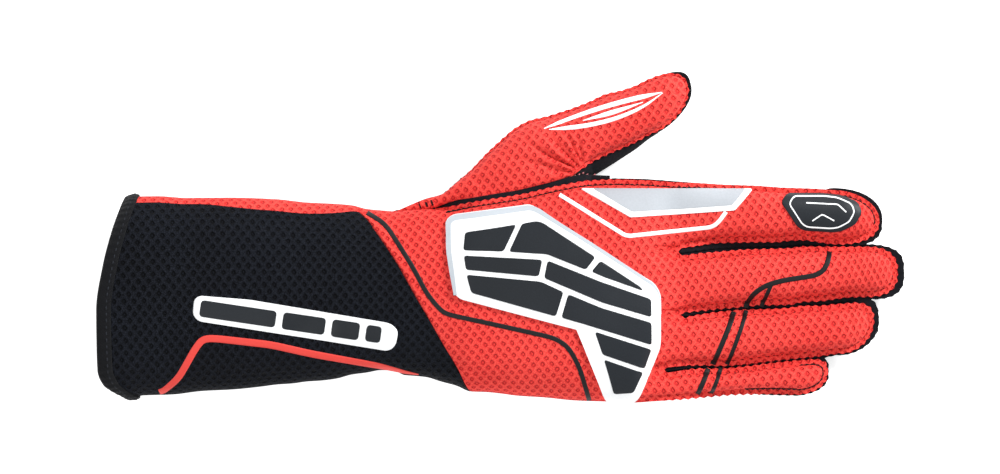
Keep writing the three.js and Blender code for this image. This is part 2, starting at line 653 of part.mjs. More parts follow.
// The folded tape around the cuff's mouth
const TAPE_OUTLINE = [
  { x: TAPE_WIDTH, out: SEAM_GAP + TAPE_WALL },
  { x: -SEAM_GAP - TAPE_WALL, out: SEAM_GAP + TAPE_WALL },
  { x: -SEAM_GAP - TAPE_WALL, out: -WALL - SEAM_GAP - TAPE_WALL },
  { x: TAPE_WIDTH, out: -WALL - SEAM_GAP - TAPE_WALL },
  { x: TAPE_WIDTH, out: -WALL - SEAM_GAP },
  { x: -SEAM_GAP, out: -WALL - SEAM_GAP },
  { x: -SEAM_GAP, out: SEAM_GAP },
  { x: TAPE_WIDTH, out: SEAM_GAP },
];
function cuffTape(angles) {
  const points = [];
  const faces = [];
  const n = TAPE_OUTLINE.length;
  const around = angles.length;
  for (let i = 0; i < around; i += 1) {
    const degrees = angles[i];
    const x = mouthEdge(degrees);
    TAPE_OUTLINE.forEach((p) => points.push(sleeveOut(x + p.x, degrees, p.out)));
    for (let j = 0; j < n; j += 1) {
      const next = (i + 1) % around;
      const k = (j + 1) % n;
      faces.push([i * n + j, next * n + j, next * n + k], [i * n + j, next * n + k, i * n + k]);
    }
  }
  return solid(points, faces);
}

// A film over the back: rings from its centre to its outline, laid on the surface below
function film(outline, centre, place, thickness, rings, between) {
  const rim = outline.flatMap((p, i) => {
    const q = outline[(i + 1) % outline.length];
    return steps(between).slice(0, -1).map((t) => ({
      along: mix(p.along, q.along, t), across: mix(p.across, q.across, t),
    }));
  });
  const rows = steps(rings).map((r) => [...rim, rim[0]].map((p) => {
    const at = (da, dc) => place(mix(centre.along, p.along, r) + da, mix(centre.across, p.across, r) + dc);
    const u = at(0.004, 0).sub(at(-0.004, 0));
    const v = at(0, 0.004).sub(at(0, -0.004));
    const normal = u.cross(v).normalize();
    return at(0, 0).addScaledVector(normal, FILM_GAP + thickness);
  }));
  return new Sheet().grid(rows).turned().thick(thickness);
}
function onHand(alongShare, across) {
  const x = alongShare * HAND_LENGTH;
  const s = sectionAt(x);
  const y = s.centre + s.half * across;
  return new THREE.Vector3(x, y, palmHeight(x, y, true));
}
function onIndex(alongShare, across) {
  if (alongShare >= 0) {
    const f = FINGERS[0];
    const open = alongShare * f.length > f.length - f.width / 2
      ? arch((alongShare * f.length - (f.length - f.width / 2)) / (f.width / 2), 2.5) : 1;
    return fingerPoint(0, { s: alongShare, open }, { e: across / open, lip: false }, true);
  }
  const t = 1 + alongShare * INDEX_LENGTH / (HAND_LENGTH - slantEdge(0.8));
  return handPoint(0, t, { e: across, lip: false }, slantEdge, true);
}

const BACK_COLUMNS = 14;
const SIDE_COLUMNS = 4;
const PALM_COLUMNS = 12;
const CUFF_ANGLE = stripAngle(-GAUNTLET_LENGTH);
const cuffAngles = [
  ...steps(SIDE_COLUMNS).slice(0, -1).map((t) => mix(STRIP_FOOT, CUFF_ANGLE, t)),
  ...steps(BACK_COLUMNS).slice(0, -1).map((t) => mix(CUFF_ANGLE, 180, t)),
  ...steps(PALM_COLUMNS).slice(0, -1).map((t) => mix(180, 360 + STRIP_FOOT, t)),
];
const slantEnd = (degrees) => slantEdge(acrossOf(degrees));

const parts = [
  { name: 'hand_back', colour: 0xf8554e, roughness: 0.85,
    geometry: handSheet(nearEdge, true, 6, 4, 5).thick(WALL) },
  { name: 'palm', colour: 0x1e1f26, roughness: 0.95,
    geometry: handSheet(nearEdge, false, 6, 4, 5).turned().thick(WALL) },
  { name: 'thumb_back', colour: 0xf8554e, roughness: 0.85, geometry: thumbBack },
  { name: 'thumb_palm', colour: 0x1e1f26, roughness: 0.95, geometry: thumbPalm },
  { name: 'thumb_welt', colour: 0x17181d, roughness: 0.95, geometry: welt },
  { name: 'gauntlet_back', colour: 0x1e1f26, roughness: 0.85,
    geometry: gauntletPanel(stripAngle, () => 180, slantEnd, 8, BACK_COLUMNS) },
  { name: 'gauntlet_side', colour: 0xf8554e, roughness: 0.85,
    geometry: gauntletPanel(() => STRIP_FOOT, stripAngle, slantEnd, 8, SIDE_COLUMNS) },
  { name: 'gauntlet_palm', colour: 0x1a1b20, roughness: 0.95,
    geometry: gauntletPanel(() => 180, () => 360 + STRIP_FOOT, slantEnd, 9, PALM_COLUMNS) },
  { name: 'cuff_tape', colour: 0x17181c, roughness: 0.8, geometry: cuffTape(cuffAngles) },
  { name: 'knuckle_patch', colour: 0xe8ebee, roughness: 0.45,
    geometry: film(KNUCKLE_OUTLINE, KNUCKLE_CENTRE, onHand, PATCH_THICKNESS, 10, 2) },
  { name: 'index_panel', colour: 0xdde5ec, roughness: 0.4,
    geometry: film(INDEX_OUTLINE, INDEX_CENTRE, onIndex, FILM_THICKNESS, 3, 3) },
  { name: 'fingertip_patch', colour: 0x2b2d33, roughness: 0.5,
    geometry: film(TIP_OUTLINE, TIP_CENTRE, onIndex, FILM_THICKNESS, 3, 1) },
];

const group = new THREE.Group();
const box = new THREE.Box3();
for (const part of parts) {
  part.geometry.computeBoundingBox();
  box.union(part.geometry.boundingBox);
}
for (const part of parts) {
  const material = new THREE.MeshStandardMaterial({
    color: part.colour, roughness: part.roughness, metalness: 0,
  });
  const mesh = new THREE.Mesh(part.geometry, material);
  mesh.name = part.name;
  mesh.position.set(-(box.min.x + box.max.x) / 2, -(box.min.y + box.max.y) / 2, -box.min.z);
  group.add(mesh);
}

export default group;
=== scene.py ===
"""Karting glove for the right hand, lying palm down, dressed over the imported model.

Shapes are worked out in the glove's own frame, in millimetres: x from the wrist to the fingertips,
y to the thumb's side, z up. to_frame() moves them into the row's frame, in metres.
"""

import math

import bmesh
import bpy
import numpy as np
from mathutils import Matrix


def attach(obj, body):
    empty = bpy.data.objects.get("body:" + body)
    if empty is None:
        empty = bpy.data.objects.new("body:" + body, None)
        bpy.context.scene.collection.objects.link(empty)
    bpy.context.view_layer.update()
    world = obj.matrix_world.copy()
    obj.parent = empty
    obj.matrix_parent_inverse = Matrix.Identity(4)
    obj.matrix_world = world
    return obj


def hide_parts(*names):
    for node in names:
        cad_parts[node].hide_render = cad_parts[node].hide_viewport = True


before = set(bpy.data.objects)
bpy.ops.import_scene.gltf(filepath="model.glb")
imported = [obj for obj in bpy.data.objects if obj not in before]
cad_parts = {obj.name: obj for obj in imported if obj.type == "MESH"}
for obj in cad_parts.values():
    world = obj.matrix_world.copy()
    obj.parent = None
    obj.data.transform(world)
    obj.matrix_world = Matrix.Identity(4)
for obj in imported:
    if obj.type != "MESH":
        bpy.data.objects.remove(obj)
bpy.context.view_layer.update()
SHIFT = np.array([-42.0117, -22.1510, 0.0])

# Cloth and seams, in millimetres
CLOTH = 0.8
SUEDE = 0.9
ROW_STEP = 0.8
FLANGE = 2.2
THUMB_FLANGE = 1.1
SCALLOP_PITCH = 3.2
SCALLOP_DEPTH = 0.75
ARCH = 2.35
LIP_LEVEL = 1.35
HAND_LENGTH = 113.0
GAUNTLET_LENGTH = 120.0
ROOT_RIM = 12.0
FINGER_RIM = 7.85
THUMB_RIM = 8.35
PALM_DROP = 1.75


# ---------------------------------------------------------------- curves and tables
def drawn(rows):
    """Places on the pattern drawing, whose squares are 0.4 mm, to millimetres of the glove."""
    rows = np.asarray(rows, float)
    return np.column_stack([(rows[:, 0] - 395.0) * 0.4, (290.5 - rows[:, 1]) * 0.4])


def mix(a, b, t):
    return a + (b - a) * t


def ease(a, b, v):
    """Smooth step from 0 at a to 1 at b: t squared times three less two t."""
    t = np.clip((v - a) / (b - a), 0, 1)
    return t * t * (3 - 2 * t)


def arch(q, p=ARCH):
    """Height of a superellipse's upper half: one less |q| to the p, to the power of one over p."""
    return np.maximum(0, 1 - np.abs(q) ** p) ** (1 / p)


def signed_power(v, p):
    return np.sign(v) * np.abs(v) ** p


def curve(rows, at):
    """Smooth curve through (at, value) rows with no overshoot: cubic pieces with harmonic mean slopes."""
    xs, ys = np.asarray(rows, float).T
    order = np.argsort(xs)
    xs, ys = xs[order], ys[order]
    h = np.diff(xs)
    d = np.diff(ys) / h
    m = np.zeros(len(xs))
    m[0], m[-1] = d[0], d[-1]
    if len(xs) > 2:
        a, b = 2 * h[1:] + h[:-1], h[1:] + 2 * h[:-1]
        same = d[:-1] * d[1:] > 0
        safe0 = np.where(same, d[:-1], 1.0)
        safe1 = np.where(same, d[1:], 1.0)
        m[1:-1] = np.where(same, (a + b) / (a / safe0 + b / safe1), 0.0)
    x = np.clip(at, xs[0], xs[-1])
    i = np.clip(np.searchsorted(xs, x, side="right") - 1, 0, len(h) - 1)
    t = (x - xs[i]) / h[i]
    return (ys[i] * (1 + 2 * t) * (1 - t) ** 2 + h[i] * m[i] * t * (1 - t) ** 2
            + ys[i + 1] * t * t * (3 - 2 * t) + h[i] * m[i + 1] * t * t * (t - 1))


# Outline of the sleeve and hand, thumb side and little finger side
THUMB_SIDE = drawn([
    (95, 200), (125, 197), (130, 195.3), (155, 194.7), (185, 196.5), (230, 196.2), (275, 197.8), (305, 201),
    (335, 202.5), (350, 203.8), (365, 207.5), (380, 209), (395, 210), (410, 208.5), (425, 207.5), (439, 206.5),
    (470, 201), (520, 193), (560, 184), (590, 179), (612, 178), (640, 178.5), (680, 181), (695, 181.3),
    (725, 183), (755, 184), (785, 186), (815, 187), (845, 189), (900, 189)])
LITTLE_SIDE = drawn([
    (95, 400), (105, 397.5), (120, 396.2), (128, 397), (140, 395), (170, 394), (200, 390.5), (230, 389),
    (260, 386), (275, 384), (290, 383), (305, 381), (320, 380), (335, 378), (350, 374), (365, 372),
    (380, 369.5), (395, 371), (403, 374.5), (410, 375), (425, 376.5), (440, 381), (455, 385), (470, 391),
    (485, 391.5), (500, 393), (515, 395), (545, 397), (575, 400), (605, 401), (635, 402), (650, 401),
    (680, 399), (710, 396.5), (740, 394.5), (770, 394), (800, 394.5), (850, 394)])
# Shares of the hand's width where its strips for the four fingers part, and where each slit starts
SHARES = (0.0, 0.319, 0.61, 0.858, 1.0)
SLITS = (None, 113.2, 114.4, 107.6)
SPREAD_X = 107.6
UPPER = (
    None,
    drawn([(682, 254.6), (690, 253.4), (700, 252.3), (715, 251), (745, 248.5), (760, 248), (790, 247), (805, 245.3),
           (835, 245.5), (868, 245.5), (900, 246)]),
    drawn([(684, 317), (692, 315.2), (700, 313.8), (715, 311.6), (745, 309), (775, 308), (790, 307), (805, 305), (820, 305),
           (843, 303), (880, 303)]),
    drawn([(667, 372.1), (676, 370.8), (690, 368.7), (705, 368), (720, 368.1), (736, 367), (749, 365.7), (762, 363.9),
           (787, 361), (805, 359.5), (830, 358)]),
)
LOWER = (
    drawn([(682, 246.6), (690, 245.6), (700, 244.2), (715, 242), (760, 241), (775, 241), (790, 239.5), (805, 239),
           (820, 241), (835, 243), (845, 243.3), (890, 243.3)]),
    drawn([(684, 311.6), (692, 310.8), (700, 310), (715, 308.6), (745, 306), (760, 304.5), (790, 304), (805, 301),
           (820, 300.5), (835, 298.5), (850, 296.5), (868, 296), (900, 296)]),
    drawn([(667, 366.7), (676, 365.8), (690, 364.6), (705, 364.8), (720, 365.6), (736, 364.8), (749, 363.7), (762, 362),
           (787, 359), (805, 357.4), (820, 355.8), (843, 353), (880, 353)]),
    None,
)
# Fingertips: where the end starts to round, where it ends, the tip's middle, roundness, and how far
# the black palm side reaches past the red
TIPS = (
    {"round": (835, 0), "end": 881.0, "middle": 220.0, "power": 2.15, "reach": 1.3, "height": 16.0},
    {"round": (866, 0), "end": 899.5, "middle": 271.0, "power": 2.6, "reach": 2.7, "height": 16.6},
    {"round": (843, 0), "end": 875.5, "middle": 319.3, "power": 2.35, "reach": 2.1, "height": 16.0},
    {"round": (798, 0), "end": 829.0, "middle": 371.0, "power": 2.7, "reach": 0.5, "height": 14.4},
)
# Most that the black flanges may show on each finger's two sides
LIP_CAPS = ((0.9, 1.2), (1.45, 1.1), (1.6, 0.7), (0.9, 0.4))
ROOTS = [(70.0, 113.0), (31.6, 114.4), (16.0, 113.2), (-9.4, 114.4), (-31.4, 107.6), (-60.0, 104.0)]
# Height of the sleeve's back and of its side seams, from the cuff to the fingers' roots
BACK_HEIGHT = [(-120, 27), (-100, 27.2), (-54, 27.2), (-36, 26.7), (-18, 26.2), (0, 26), (11.3, 26.5),
               (29.4, 28.7), (54, 29), (65.5, 29), (78, 27.8), (96, 24.1), (113, 19.6), (124, 17.4)]
SEAM_HEIGHT = [(-120, 10.8), (-36, 10.6), (0, 10.7), (29.4, 10.1), (96, 9.9), (113, 10.4), (124, 11)]
FOOT_HEIGHT = [(-120, 1.4), (-100, 1.4), (-86, 0.0), (120, 0.0)]
STRIP_ANGLE = [(-120, 22.5), (-100, 22), (-80, 22.0), (-65, 27.5), (-57, 30.0), (-42, 31.4), (-30, 30.0),
               (-22, 27.0), (-16, 22), (0, 17)]
STRIP_FOOT = -18.0
SLANT = [(-1.0, 29.4), (-0.963, 27.9), (-0.823, 24.7), (-0.53, 17.8), (-0.281, 12.4), (0.0, 6.8), (0.285, 1.6),
         (0.569, -4.6), (0.759, -9.0), (0.843, -11.0), (0.95, -15.4), (1.0, -17.0)]
MOUTH = [(-1.0, 0.98), (-0.93, 0.55), (-0.86, 0.27), (-0.7, 0.08), (-0.1, 0.06), (0.37, 0.31),
         (0.67, 0.58), (1.0, 0.95)]


def sides(x):
    """Middle line and half width of the sleeve and hand at x."""
    top, bottom = curve(THUMB_SIDE, x), curve(LITTLE_SIDE, x)
    return (top + bottom) / 2, (top - bottom) / 2


def web_open(x):
    """How far the thumb's opening lifts the hand's edge: a quarter sine up, then a root down to nothing."""
    share = x / HAND_LENGTH
    closing = np.clip((share - 0.62) / 0.07, 0, 1)
    rise = np.sin(np.pi / 2 * np.clip((share - 0.16) / 0.2, 0, 1))
    return np.where((share <= 0.16) | (share >= 0.69), 0, rise * np.sqrt(1 - closing))


def seam_level(x):
    """Height of the back's edge over the side seam, nothing along the gauntlet and full at the hand."""
    return LIP_LEVEL * ease(-18, 26, x)


def back_rim(x):
    return curve(SEAM_HEIGHT, x) + seam_level(x) + 6.5 * web_open(x)


def flange(x, thumb_side):
    """Width of the outer seam's flange along the hand, on the thumb's or the little finger's side."""
    if thumb_side:
        return FLANGE * ease(10, 30, x)
    return 0.3 * ease(0, 20, x) + (FLANGE - 0.3) * ease(92, 118, x)


def hand_height(x, y):
    """Back of the sleeve and hand: a superellipse arch from the rim to the section's top."""
    middle, half = sides(x)
    side = np.where(y > middle, 1, 0)
    foot = half - np.where(side == 1, flange(x, True), flange(x, False))
    q = np.clip((y - middle) / foot, -1, 1)
    rim = mix(curve(SEAM_HEIGHT, x) + seam_level(x), back_rim(x), ease(-0.1, 1, q))
    return mix(rim, curve(BACK_HEIGHT, x), arch(q))


def slit_edge(i, x, which):
    """Edge of strip i: a share of the hand's width up to the slit, then the finger's own edge."""
    middle, half = sides(x)
    b = i if which == "upper" else i + 1
    if b == 0:
        return curve(THUMB_SIDE, x)
    if b == 4:
        return curve(LITTLE_SIDE, x)
    shared = middle + half * (1 - 2 * SHARES[b])
    start = SLITS[b]
    m0, h0 = sides(np.array([start]))
    corner = (start, float((m0 + h0 * (1 - 2 * SHARES[b]))[0]))
    table = (UPPER[i] if which == "upper" else LOWER[i])
    return np.where(x <= start, shared, curve(np.vstack([corner, table]), x))


def slit_gap(i, x):
    """Width of the slit between finger i and the next."""
    return slit_edge(i, x, "lower") - slit_edge(i + 1, x, "upper")


def finger_plan(i, x):
    """Middle line and half width of finger i, its rounded tip included."""
    tip = TIPS[i]
    x_round, x_end = (tip["round"][0] - 395) * 0.4, (tip["end"] - 395) * 0.4
    y_end = (290.5 - tip["middle"]) * 0.4
    xs = np.minimum(x, x_round)
    upper, lower = slit_edge(i, xs, "upper"), slit_edge(i, xs, "lower")
    u = np.clip((x - x_round) / (x_end - x_round), 0, 1)
    middle = mix((upper + lower) / 2, y_end, u ** 1.5)
    return middle, (upper - lower) / 2, u


def finger_height(i, x, y):
    """Back of finger i: an arch across it, under a nose that comes down at the tip, over a flat flange."""
    tip = TIPS[i]
    x_round, x_end = (tip["round"][0] - 395) * 0.4, (tip["end"] - 395) * 0.4
    middle, half, _ = finger_plan(i, x)
    inner = half - FLANGE
    u = np.clip((x - x_round) / (x_end - FLANGE - x_round), 0, 1)
    opening = arch(u, tip["power"])
    e = np.clip((y - middle) / np.maximum(inner * opening, 1e-6), -1, 1)
    width = 2 * half
    x_nose = x_end - FLANGE - 0.62 * width
    nose = arch(np.clip((x - x_nose) / (0.62 * width), 0, 1), 2.2)
    root = 112.0
    share = np.clip((x - root) / (x_end - root), 0, 1)
    rim = mix(ROOT_RIM, FINGER_RIM, ease(0, 24, x - root))
    top = tip["height"] * mix(1.0, 0.84, share)
    return mix(rim, np.maximum(top, rim), nose * arch(e))


# Creases in the cloth: from and to on the drawing, width and depth in millimetres
CREASES = [
    ((655, 258), (700, 236), 1.6, 0.5), ((652, 246), (690, 262), 1.5, 0.4), ((648, 252), (677, 251), 1.8, 0.9),
    ((652, 318), (682, 314), 1.8, 0.9), ((655, 326), (690, 352), 2.0, 0.5), ((648, 352), (676, 328), 1.8, 0.5),
    ((640, 372), (664, 368), 1.8, 0.9), ((648, 384), (680, 378), 2.0, 0.45), ((660, 345), (700, 338), 1.8, 0.35),
    ((668, 392), (700, 372), 1.4, 0.45), ((404, 214), (416, 262), 2.6, 0.5), ((392, 222), (400, 250), 2.4, 0.4),
    ((418, 222), (446, 236), 2.6, 0.35), ((436, 360), (476, 372), 3.0, 0.4), ((852, 258), (868, 284), 1.2, 0.5), ((866, 262), (880, 282), 0.9, 0.4),
    ((848, 306), (854, 330), 1.1, 0.6), ((856, 308), (862, 328), 0.9, 0.4), ((700, 346), (740, 352), 1.8, 0.3), ((864, 206), (874, 226), 1.1, 0.5), ((850, 234), (870, 228), 1.2, 0.5),
    ((290, 330), (330, 318), 6.0, 0.7), ((262, 226), (300, 214), 4.0, 0.45), ((150, 250), (240, 262), 7.0, 0.35),
    ((200, 372), (330, 382), 5.0, 0.5),
]


def creases(x, y):
    """Sum of soft valleys: each is a Gaussian of the distance from a line, fading at its ends."""
    depth = np.zeros(np.broadcast(x, y).shape)
    for start, end, width, deep in CREASES:
        a, b = drawn([start, end])
        along = b - a
        length = np.hypot(*along)
        t = ((x - a[0]) * along[0] + (y - a[1]) * along[1]) / length ** 2
        d = np.abs((x - a[0]) * along[1] - (y - a[1]) * along[0]) / length
        fade = np.exp(-np.clip(np.abs(t - 0.5) - 0.35, 0, None) ** 2 * 30)
        depth += deep * np.exp(-(d / width) ** 2) * fade
    return depth


def ripple(x, y, size, seed):
    """Gentle unevenness: twelve sine waves of seeded directions, lengths and phases, averaged."""
    rng = np.random.default_rng(seed)
    total = np.zeros(np.broadcast(x, y).shape)
    for _ in range(12):
        angle, length = rng.uniform(0, np.pi), size * rng.uniform(0.7, 1.6)
        phase = rng.uniform(0, 2 * np.pi)
        total += np.sin((x * np.cos(angle) + y * np.sin(angle)) * 2 * np.pi / length + phase)
    return total / 12


def back_height(x, y):
    """Back of the whole glove over the plan: hand and fingers blended at the roots, with its creases."""
    x, y = np.broadcast_arrays(np.asarray(x, float), np.asarray(y, float))
    hand = hand_height(x, y)
    fingers = np.full(x.shape, -1.0)
    for i in range(4):
        middle, half, _ = finger_plan(i, x)
        inside = np.abs(y - middle) <= half + 0.6
        fingers = np.where(inside, np.maximum(fingers, finger_height(i, x, y)), fingers)
    fingers = np.where(fingers < 0, FINGER_RIM, fingers)
    root = curve(sorted((y0, x0) for y0, x0 in ROOTS), y)
    z = mix(hand, fingers, ease(-13, 1.5, x - root))
    middle, half = sides(np.minimum(x, 108))
    calm = np.where(x < 108, ease(0, 5, half - np.abs(y - middle)), 1)
    calm = calm * ease(FINGER_RIM + 0.5, FINGER_RIM + 4, z)
    soft = 0.35 * ripple(x, y, 26, 4) + 0.12 * ripple(x, y, 9, 9)
    return z - creases(x, y) * calm + soft * calm


def palm_height(x, y):
    """Palm side over the plan: flat on the ground, turning up to the seams at its edges."""
    x, y = np.broadcast_arrays(np.asarray(x, float), np.asarray(y, float))
    middle, half = sides(x)
    foot = np.maximum(half - np.maximum(flange(x, False), 0.6), 1)
    q = np.clip((y - middle) / foot, -1, 1)
    seam = curve(SEAM_HEIGHT, x) - PALM_DROP * ease(-18, 26, x)
    rim = mix(seam, mix(seam, 1.0, web_open(x)), ease(-0.1, 1, q))
    hand = rim * (1 - np.minimum(1, arch(q, 4.0) / 0.9))
    fingers = np.full(x.shape, -1.0)
    for i in range(4):
        tip = TIPS[i]
        x_round, x_end = (tip["round"][0] - 395) * 0.4, (tip["end"] - 395) * 0.4
        mid, h, _ = finger_plan(i, x)
        u = np.clip((x - x_round) / (x_end - FLANGE - x_round), 0, 1)
        e = np.clip((y - mid) / np.maximum((h - FLANGE) * arch(u, tip["power"]), 1e-6), -1, 1)
        x_nose = x_end - FLANGE - 1.24 * h
        nose = arch(np.clip((x - x_nose) / (1.24 * h), 0, 1), 2.2)
        rim_i = mix(ROOT_RIM, FINGER_RIM, ease(0, 24, x - 112.0)) - PALM_DROP
        z = rim_i * (1 - nose * np.minimum(1, arch(e, 2.6) / 0.86))
        fingers = np.where(np.abs(y - mid) <= h + 3, np.maximum(fingers, z), fingers)
    fingers = np.where(fingers < 0, FINGER_RIM - PALM_DROP, fingers)
    root = curve(sorted((y0, x0) for y0, x0 in ROOTS), y)
    return mix(hand, fingers, ease(-13, 1.5, x - root))


def pinked(points, lips, wanted, side, depth=SCALLOP_DEPTH, phase=0.0):
    """Pinked edge: a triangle wave of the length walked along the outermost column, pushed outwards in
    plan and fading over the flange's columns. side is 1 for the first column and -1 for the last."""
    edge = points[:, 0 if side > 0 else -1, :2]
    walk = np.concatenate([[0], np.cumsum(np.linalg.norm(np.diff(edge, axis=0), axis=1))])
    ahead = np.gradient(edge, axis=0)
    ahead /= np.maximum(np.linalg.norm(ahead, axis=1, keepdims=True), 1e-9)
    out = side * np.column_stack([-ahead[:, 1], ahead[:, 0]])
    wave = depth * (np.abs((walk / SCALLOP_PITCH + phase) % 1 - 0.5) * 2 - 0.5) * wanted
    wave[-1] = 0
    for step, weight in enumerate(lips):
        column = step if side > 0 else -1 - step
        points[:, column, :2] += out * (wave * weight)[:, None]
        points[:, column, 2] -= 0.25 * np.abs(wave) * weight
    return points


# ---------------------------------------------------------------- meshes
def to_frame(points):
    return (np.asarray(points, float) + SHIFT) / 1000.0


def grid_faces(rows, columns, start=0, turned=False):
    """Quads of a grid of rows times columns, counted from start."""
    i, j = np.meshgrid(np.arange(rows - 1), np.arange(columns - 1), indexing="ij")
    a = (start + i * columns + j).ravel()
    quads = np.column_stack([a, a + columns, a + columns + 1, a + 1])
    return quads[:, ::-1] if turned else quads


def surface(name, grids, finish, stands_for=(), wall=0.0, sharp=55.0, turned=False):
    """One piece from grids of (points, pattern places): welded, given a wall, and put on the frame."""
    points, places, faces, start = [], [], [], 0
    for grid, place in grids:
        rows, columns = grid.shape[:2]
        points.append(to_frame(grid).reshape(-1, 3))
        places.append(np.asarray(place, float).reshape(-1, 2) / 1000.0)
        faces.append(grid_faces(rows, columns, start, turned))
        start += rows * columns
    points, places, faces = np.vstack(points), np.vstack(places), np.vstack(faces)
    mesh = bpy.data.meshes.new(name)
    mesh.from_pydata(points.tolist(), [], faces.tolist())
    layer = mesh.uv_layers.new(name="cloth")
    corner = np.empty(len(mesh.loops), np.int32)
    mesh.loops.foreach_get("vertex_index", corner)
    layer.data.foreach_set("uv", (places[corner] * 1000.0).astype(np.float32).ravel())
    weld = bmesh.new()
    weld.from_mesh(mesh)
    bmesh.ops.remove_doubles(weld, verts=weld.verts, dist=2e-6)
    weld.to_mesh(mesh)
    weld.free()
    return place_piece(name, mesh, finish, stands_for, wall, sharp)


def place_piece(name, mesh, finish, stands_for=(), wall=0.0, sharp=55.0):
    """Object for a mesh: wall applied, smooth but for its sharp edges, riding on the one body."""
    piece = bpy.data.objects.new(name, mesh)
    bpy.context.scene.collection.objects.link(piece)
    if wall:
        thick = piece.modifiers.new("wall", "SOLIDIFY")
        thick.thickness = wall / 1000.0
        thick.offset = -1.0
        thick.use_even_offset = False
        graph = bpy.context.evaluated_depsgraph_get()
        done = bpy.data.meshes.new_from_object(piece.evaluated_get(graph), depsgraph=graph)
        piece.modifiers.clear()
        piece.data = done
        done.name = name
        bpy.data.meshes.remove(mesh)
    data = piece.data
    data.polygons.foreach_set("use_smooth", np.ones(len(data.polygons), bool))
    data.set_sharp_from_angle(angle=math.radians(sharp))
    data.materials.clear()
    data.materials.append(finish)
    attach(piece, "root")
    if stands_for:
        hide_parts(*stands_for)
    return piece


def steps(n):
    return np.linspace(0.0, 1.0, n + 1)


def row_lengths(points):
    """Length walked along the last axis of a grid of points, from its first column."""
    walk = np.linalg.norm(np.diff(points, axis=1), axis=2)
    return np.concatenate([np.zeros((points.shape[0], 1)), np.cumsum(walk, axis=1)], axis=1)


# ---------------------------------------------------------------- hand back and palm
def column_shares(cells, lip_cells=3):
    """Columns across a strip: in the flange, over the arch by cosine steps, and in the other flange."""
    lip = [("upper", t) for t in steps(lip_cells)[:-1]]
    inner = [("arch", (1 - math.cos(math.pi * t)) / 2) for t in steps(cells)]
    return lip + inner + [("lower", t) for t in steps(lip_cells)[1:]]


def strip_points(i, cells, top):
    """Plan places of one finger's strip, from the slant to its tip, row by row."""
    columns = column_shares(cells)
    tip = TIPS[i]
    reach = 0.0 if top else tip["reach"]

    x_round = (tip["round"][0] - 395) * 0.4
    x_end = (tip["end"] - 395) * 0.4

    def extra(x, which):
        """How far the black side's flange shows past the red: over half of the gap, or a little outside."""
        if top:
            return 0.0 * x
        if i == 0 and which == "upper":
            plain = mix(0.5, -0.5, ease(108, 132, x))
            return mix(plain, LIP_CAPS[0][0], ease(x_round - 5.5, x_round, x)) * ease(72, 80, x)
        if i == 3 and which == "lower":
            return mix(-0.4, 0.4, ease(140, 152, x)) * ease(66, 86, x)
        half_gap = slit_gap(i - 1 if which == "upper" else i, x) / 2
        most = mix(2.3, LIP_CAPS[i][which == "lower"], ease(x_round - 16, x_round - 2, x))
        return np.clip(half_gap + 0.3, 0, most) * ease(0.02, 0.4, half_gap)
    near_count = int(round((SPREAD_X + 15.4) / ROW_STEP))
    near_t = steps(near_count)[:-1]
    straight = np.arange(SPREAD_X, x_round - ROW_STEP / 2, ROW_STEP)
    turn = steps(34) * np.pi / 2
    open_out, far_out = np.cos(turn) ** (2 / tip["power"]), np.sin(turn) ** (2 / tip["power"])
    open_out[-1] = 0.0
    rows_x, rows_y = [], []
    for kind, share in columns:
        def offset(x, width):
            outer_up = (i == 0) and (kind == "upper")
            lip_up = np.where(x < SPREAD_X, flange(x, True), FLANGE) if i == 0 else FLANGE
            lip_low = np.where(x < SPREAD_X, flange(x, False), FLANGE) if i == 3 else FLANGE
            if kind == "upper":
                return share * lip_up
            if kind == "lower":
                return width - lip_low * (1 - share)
            return lip_up + (width - lip_up - lip_low) * share
        x = np.full(near_count, 0.0)
        for _ in range(8):
            upper, lower = slit_edge(i, x, "upper"), slit_edge(i, x, "lower")
            y = upper - offset(x, upper - lower)
            if _ == 7:
                break
            m0, h0 = sides(x[:1])
            start = curve(SLANT, np.clip((y[:1] - m0) / h0, -1, 1)) - 1.4
            x = mix(start[0], SPREAD_X, near_t)
        if kind == "upper" and i == 0:
            y = y + extra(x, "upper") * (1 - share)
        if kind == "lower" and i == 3:
            y = y - extra(x, "lower") * share
        xs, ys = [x], [y]
        upper, lower = slit_edge(i, straight, "upper"), slit_edge(i, straight, "lower")
        y = upper - offset(straight, upper - lower)
        if kind == "upper":
            y = y + extra(straight, "upper") * (1 - share)
        if kind == "lower":
            y = y - extra(straight, "lower") * share
        xs.append(straight)
        ys.append(y)
        upper, lower = slit_edge(i, np.array([x_round]), "upper")[0], slit_edge(i, np.array([x_round]), "lower")[0]
        middle0, half0 = (upper + lower) / 2, (upper - lower) / 2
        y_end = (290.5 - tip["middle"]) * 0.4

        def outline(inset, grow, wide):
            end = x_end - inset + grow
            squarer = 0.85 if grow else 1.0
            px = x_round + (end - x_round) * far_out ** squarer
            u = np.clip((px - x_round) / (x_end - x_round), 0, 1)
            return px, mix(middle0, y_end, u ** 1.5), (half0 - inset + wide) * open_out ** squarer
        at_round = np.array([x_round])
        ix, im, ih = outline(FLANGE, 0.0, 0.0)
        if kind == "upper":
            ox, om, oh = outline(0.0, reach, extra(at_round, "upper")[0])
            px, py = mix(ox, ix, share), mix(om + oh, im + ih, share)
        elif kind == "lower":
            ox, om, oh = outline(0.0, reach, extra(at_round, "lower")[0])
            px, py = mix(ix, ox, share), mix(im - ih, om - oh, share)
        else:
            px, py = ix, im + ih * (1 - 2 * share)
        xs.append(px)
        ys.append(py)
        rows_x.append(np.concatenate(xs))
        rows_y.append(np.concatenate(ys))
    return np.array(rows_x).T, np.array(rows_y).T, columns


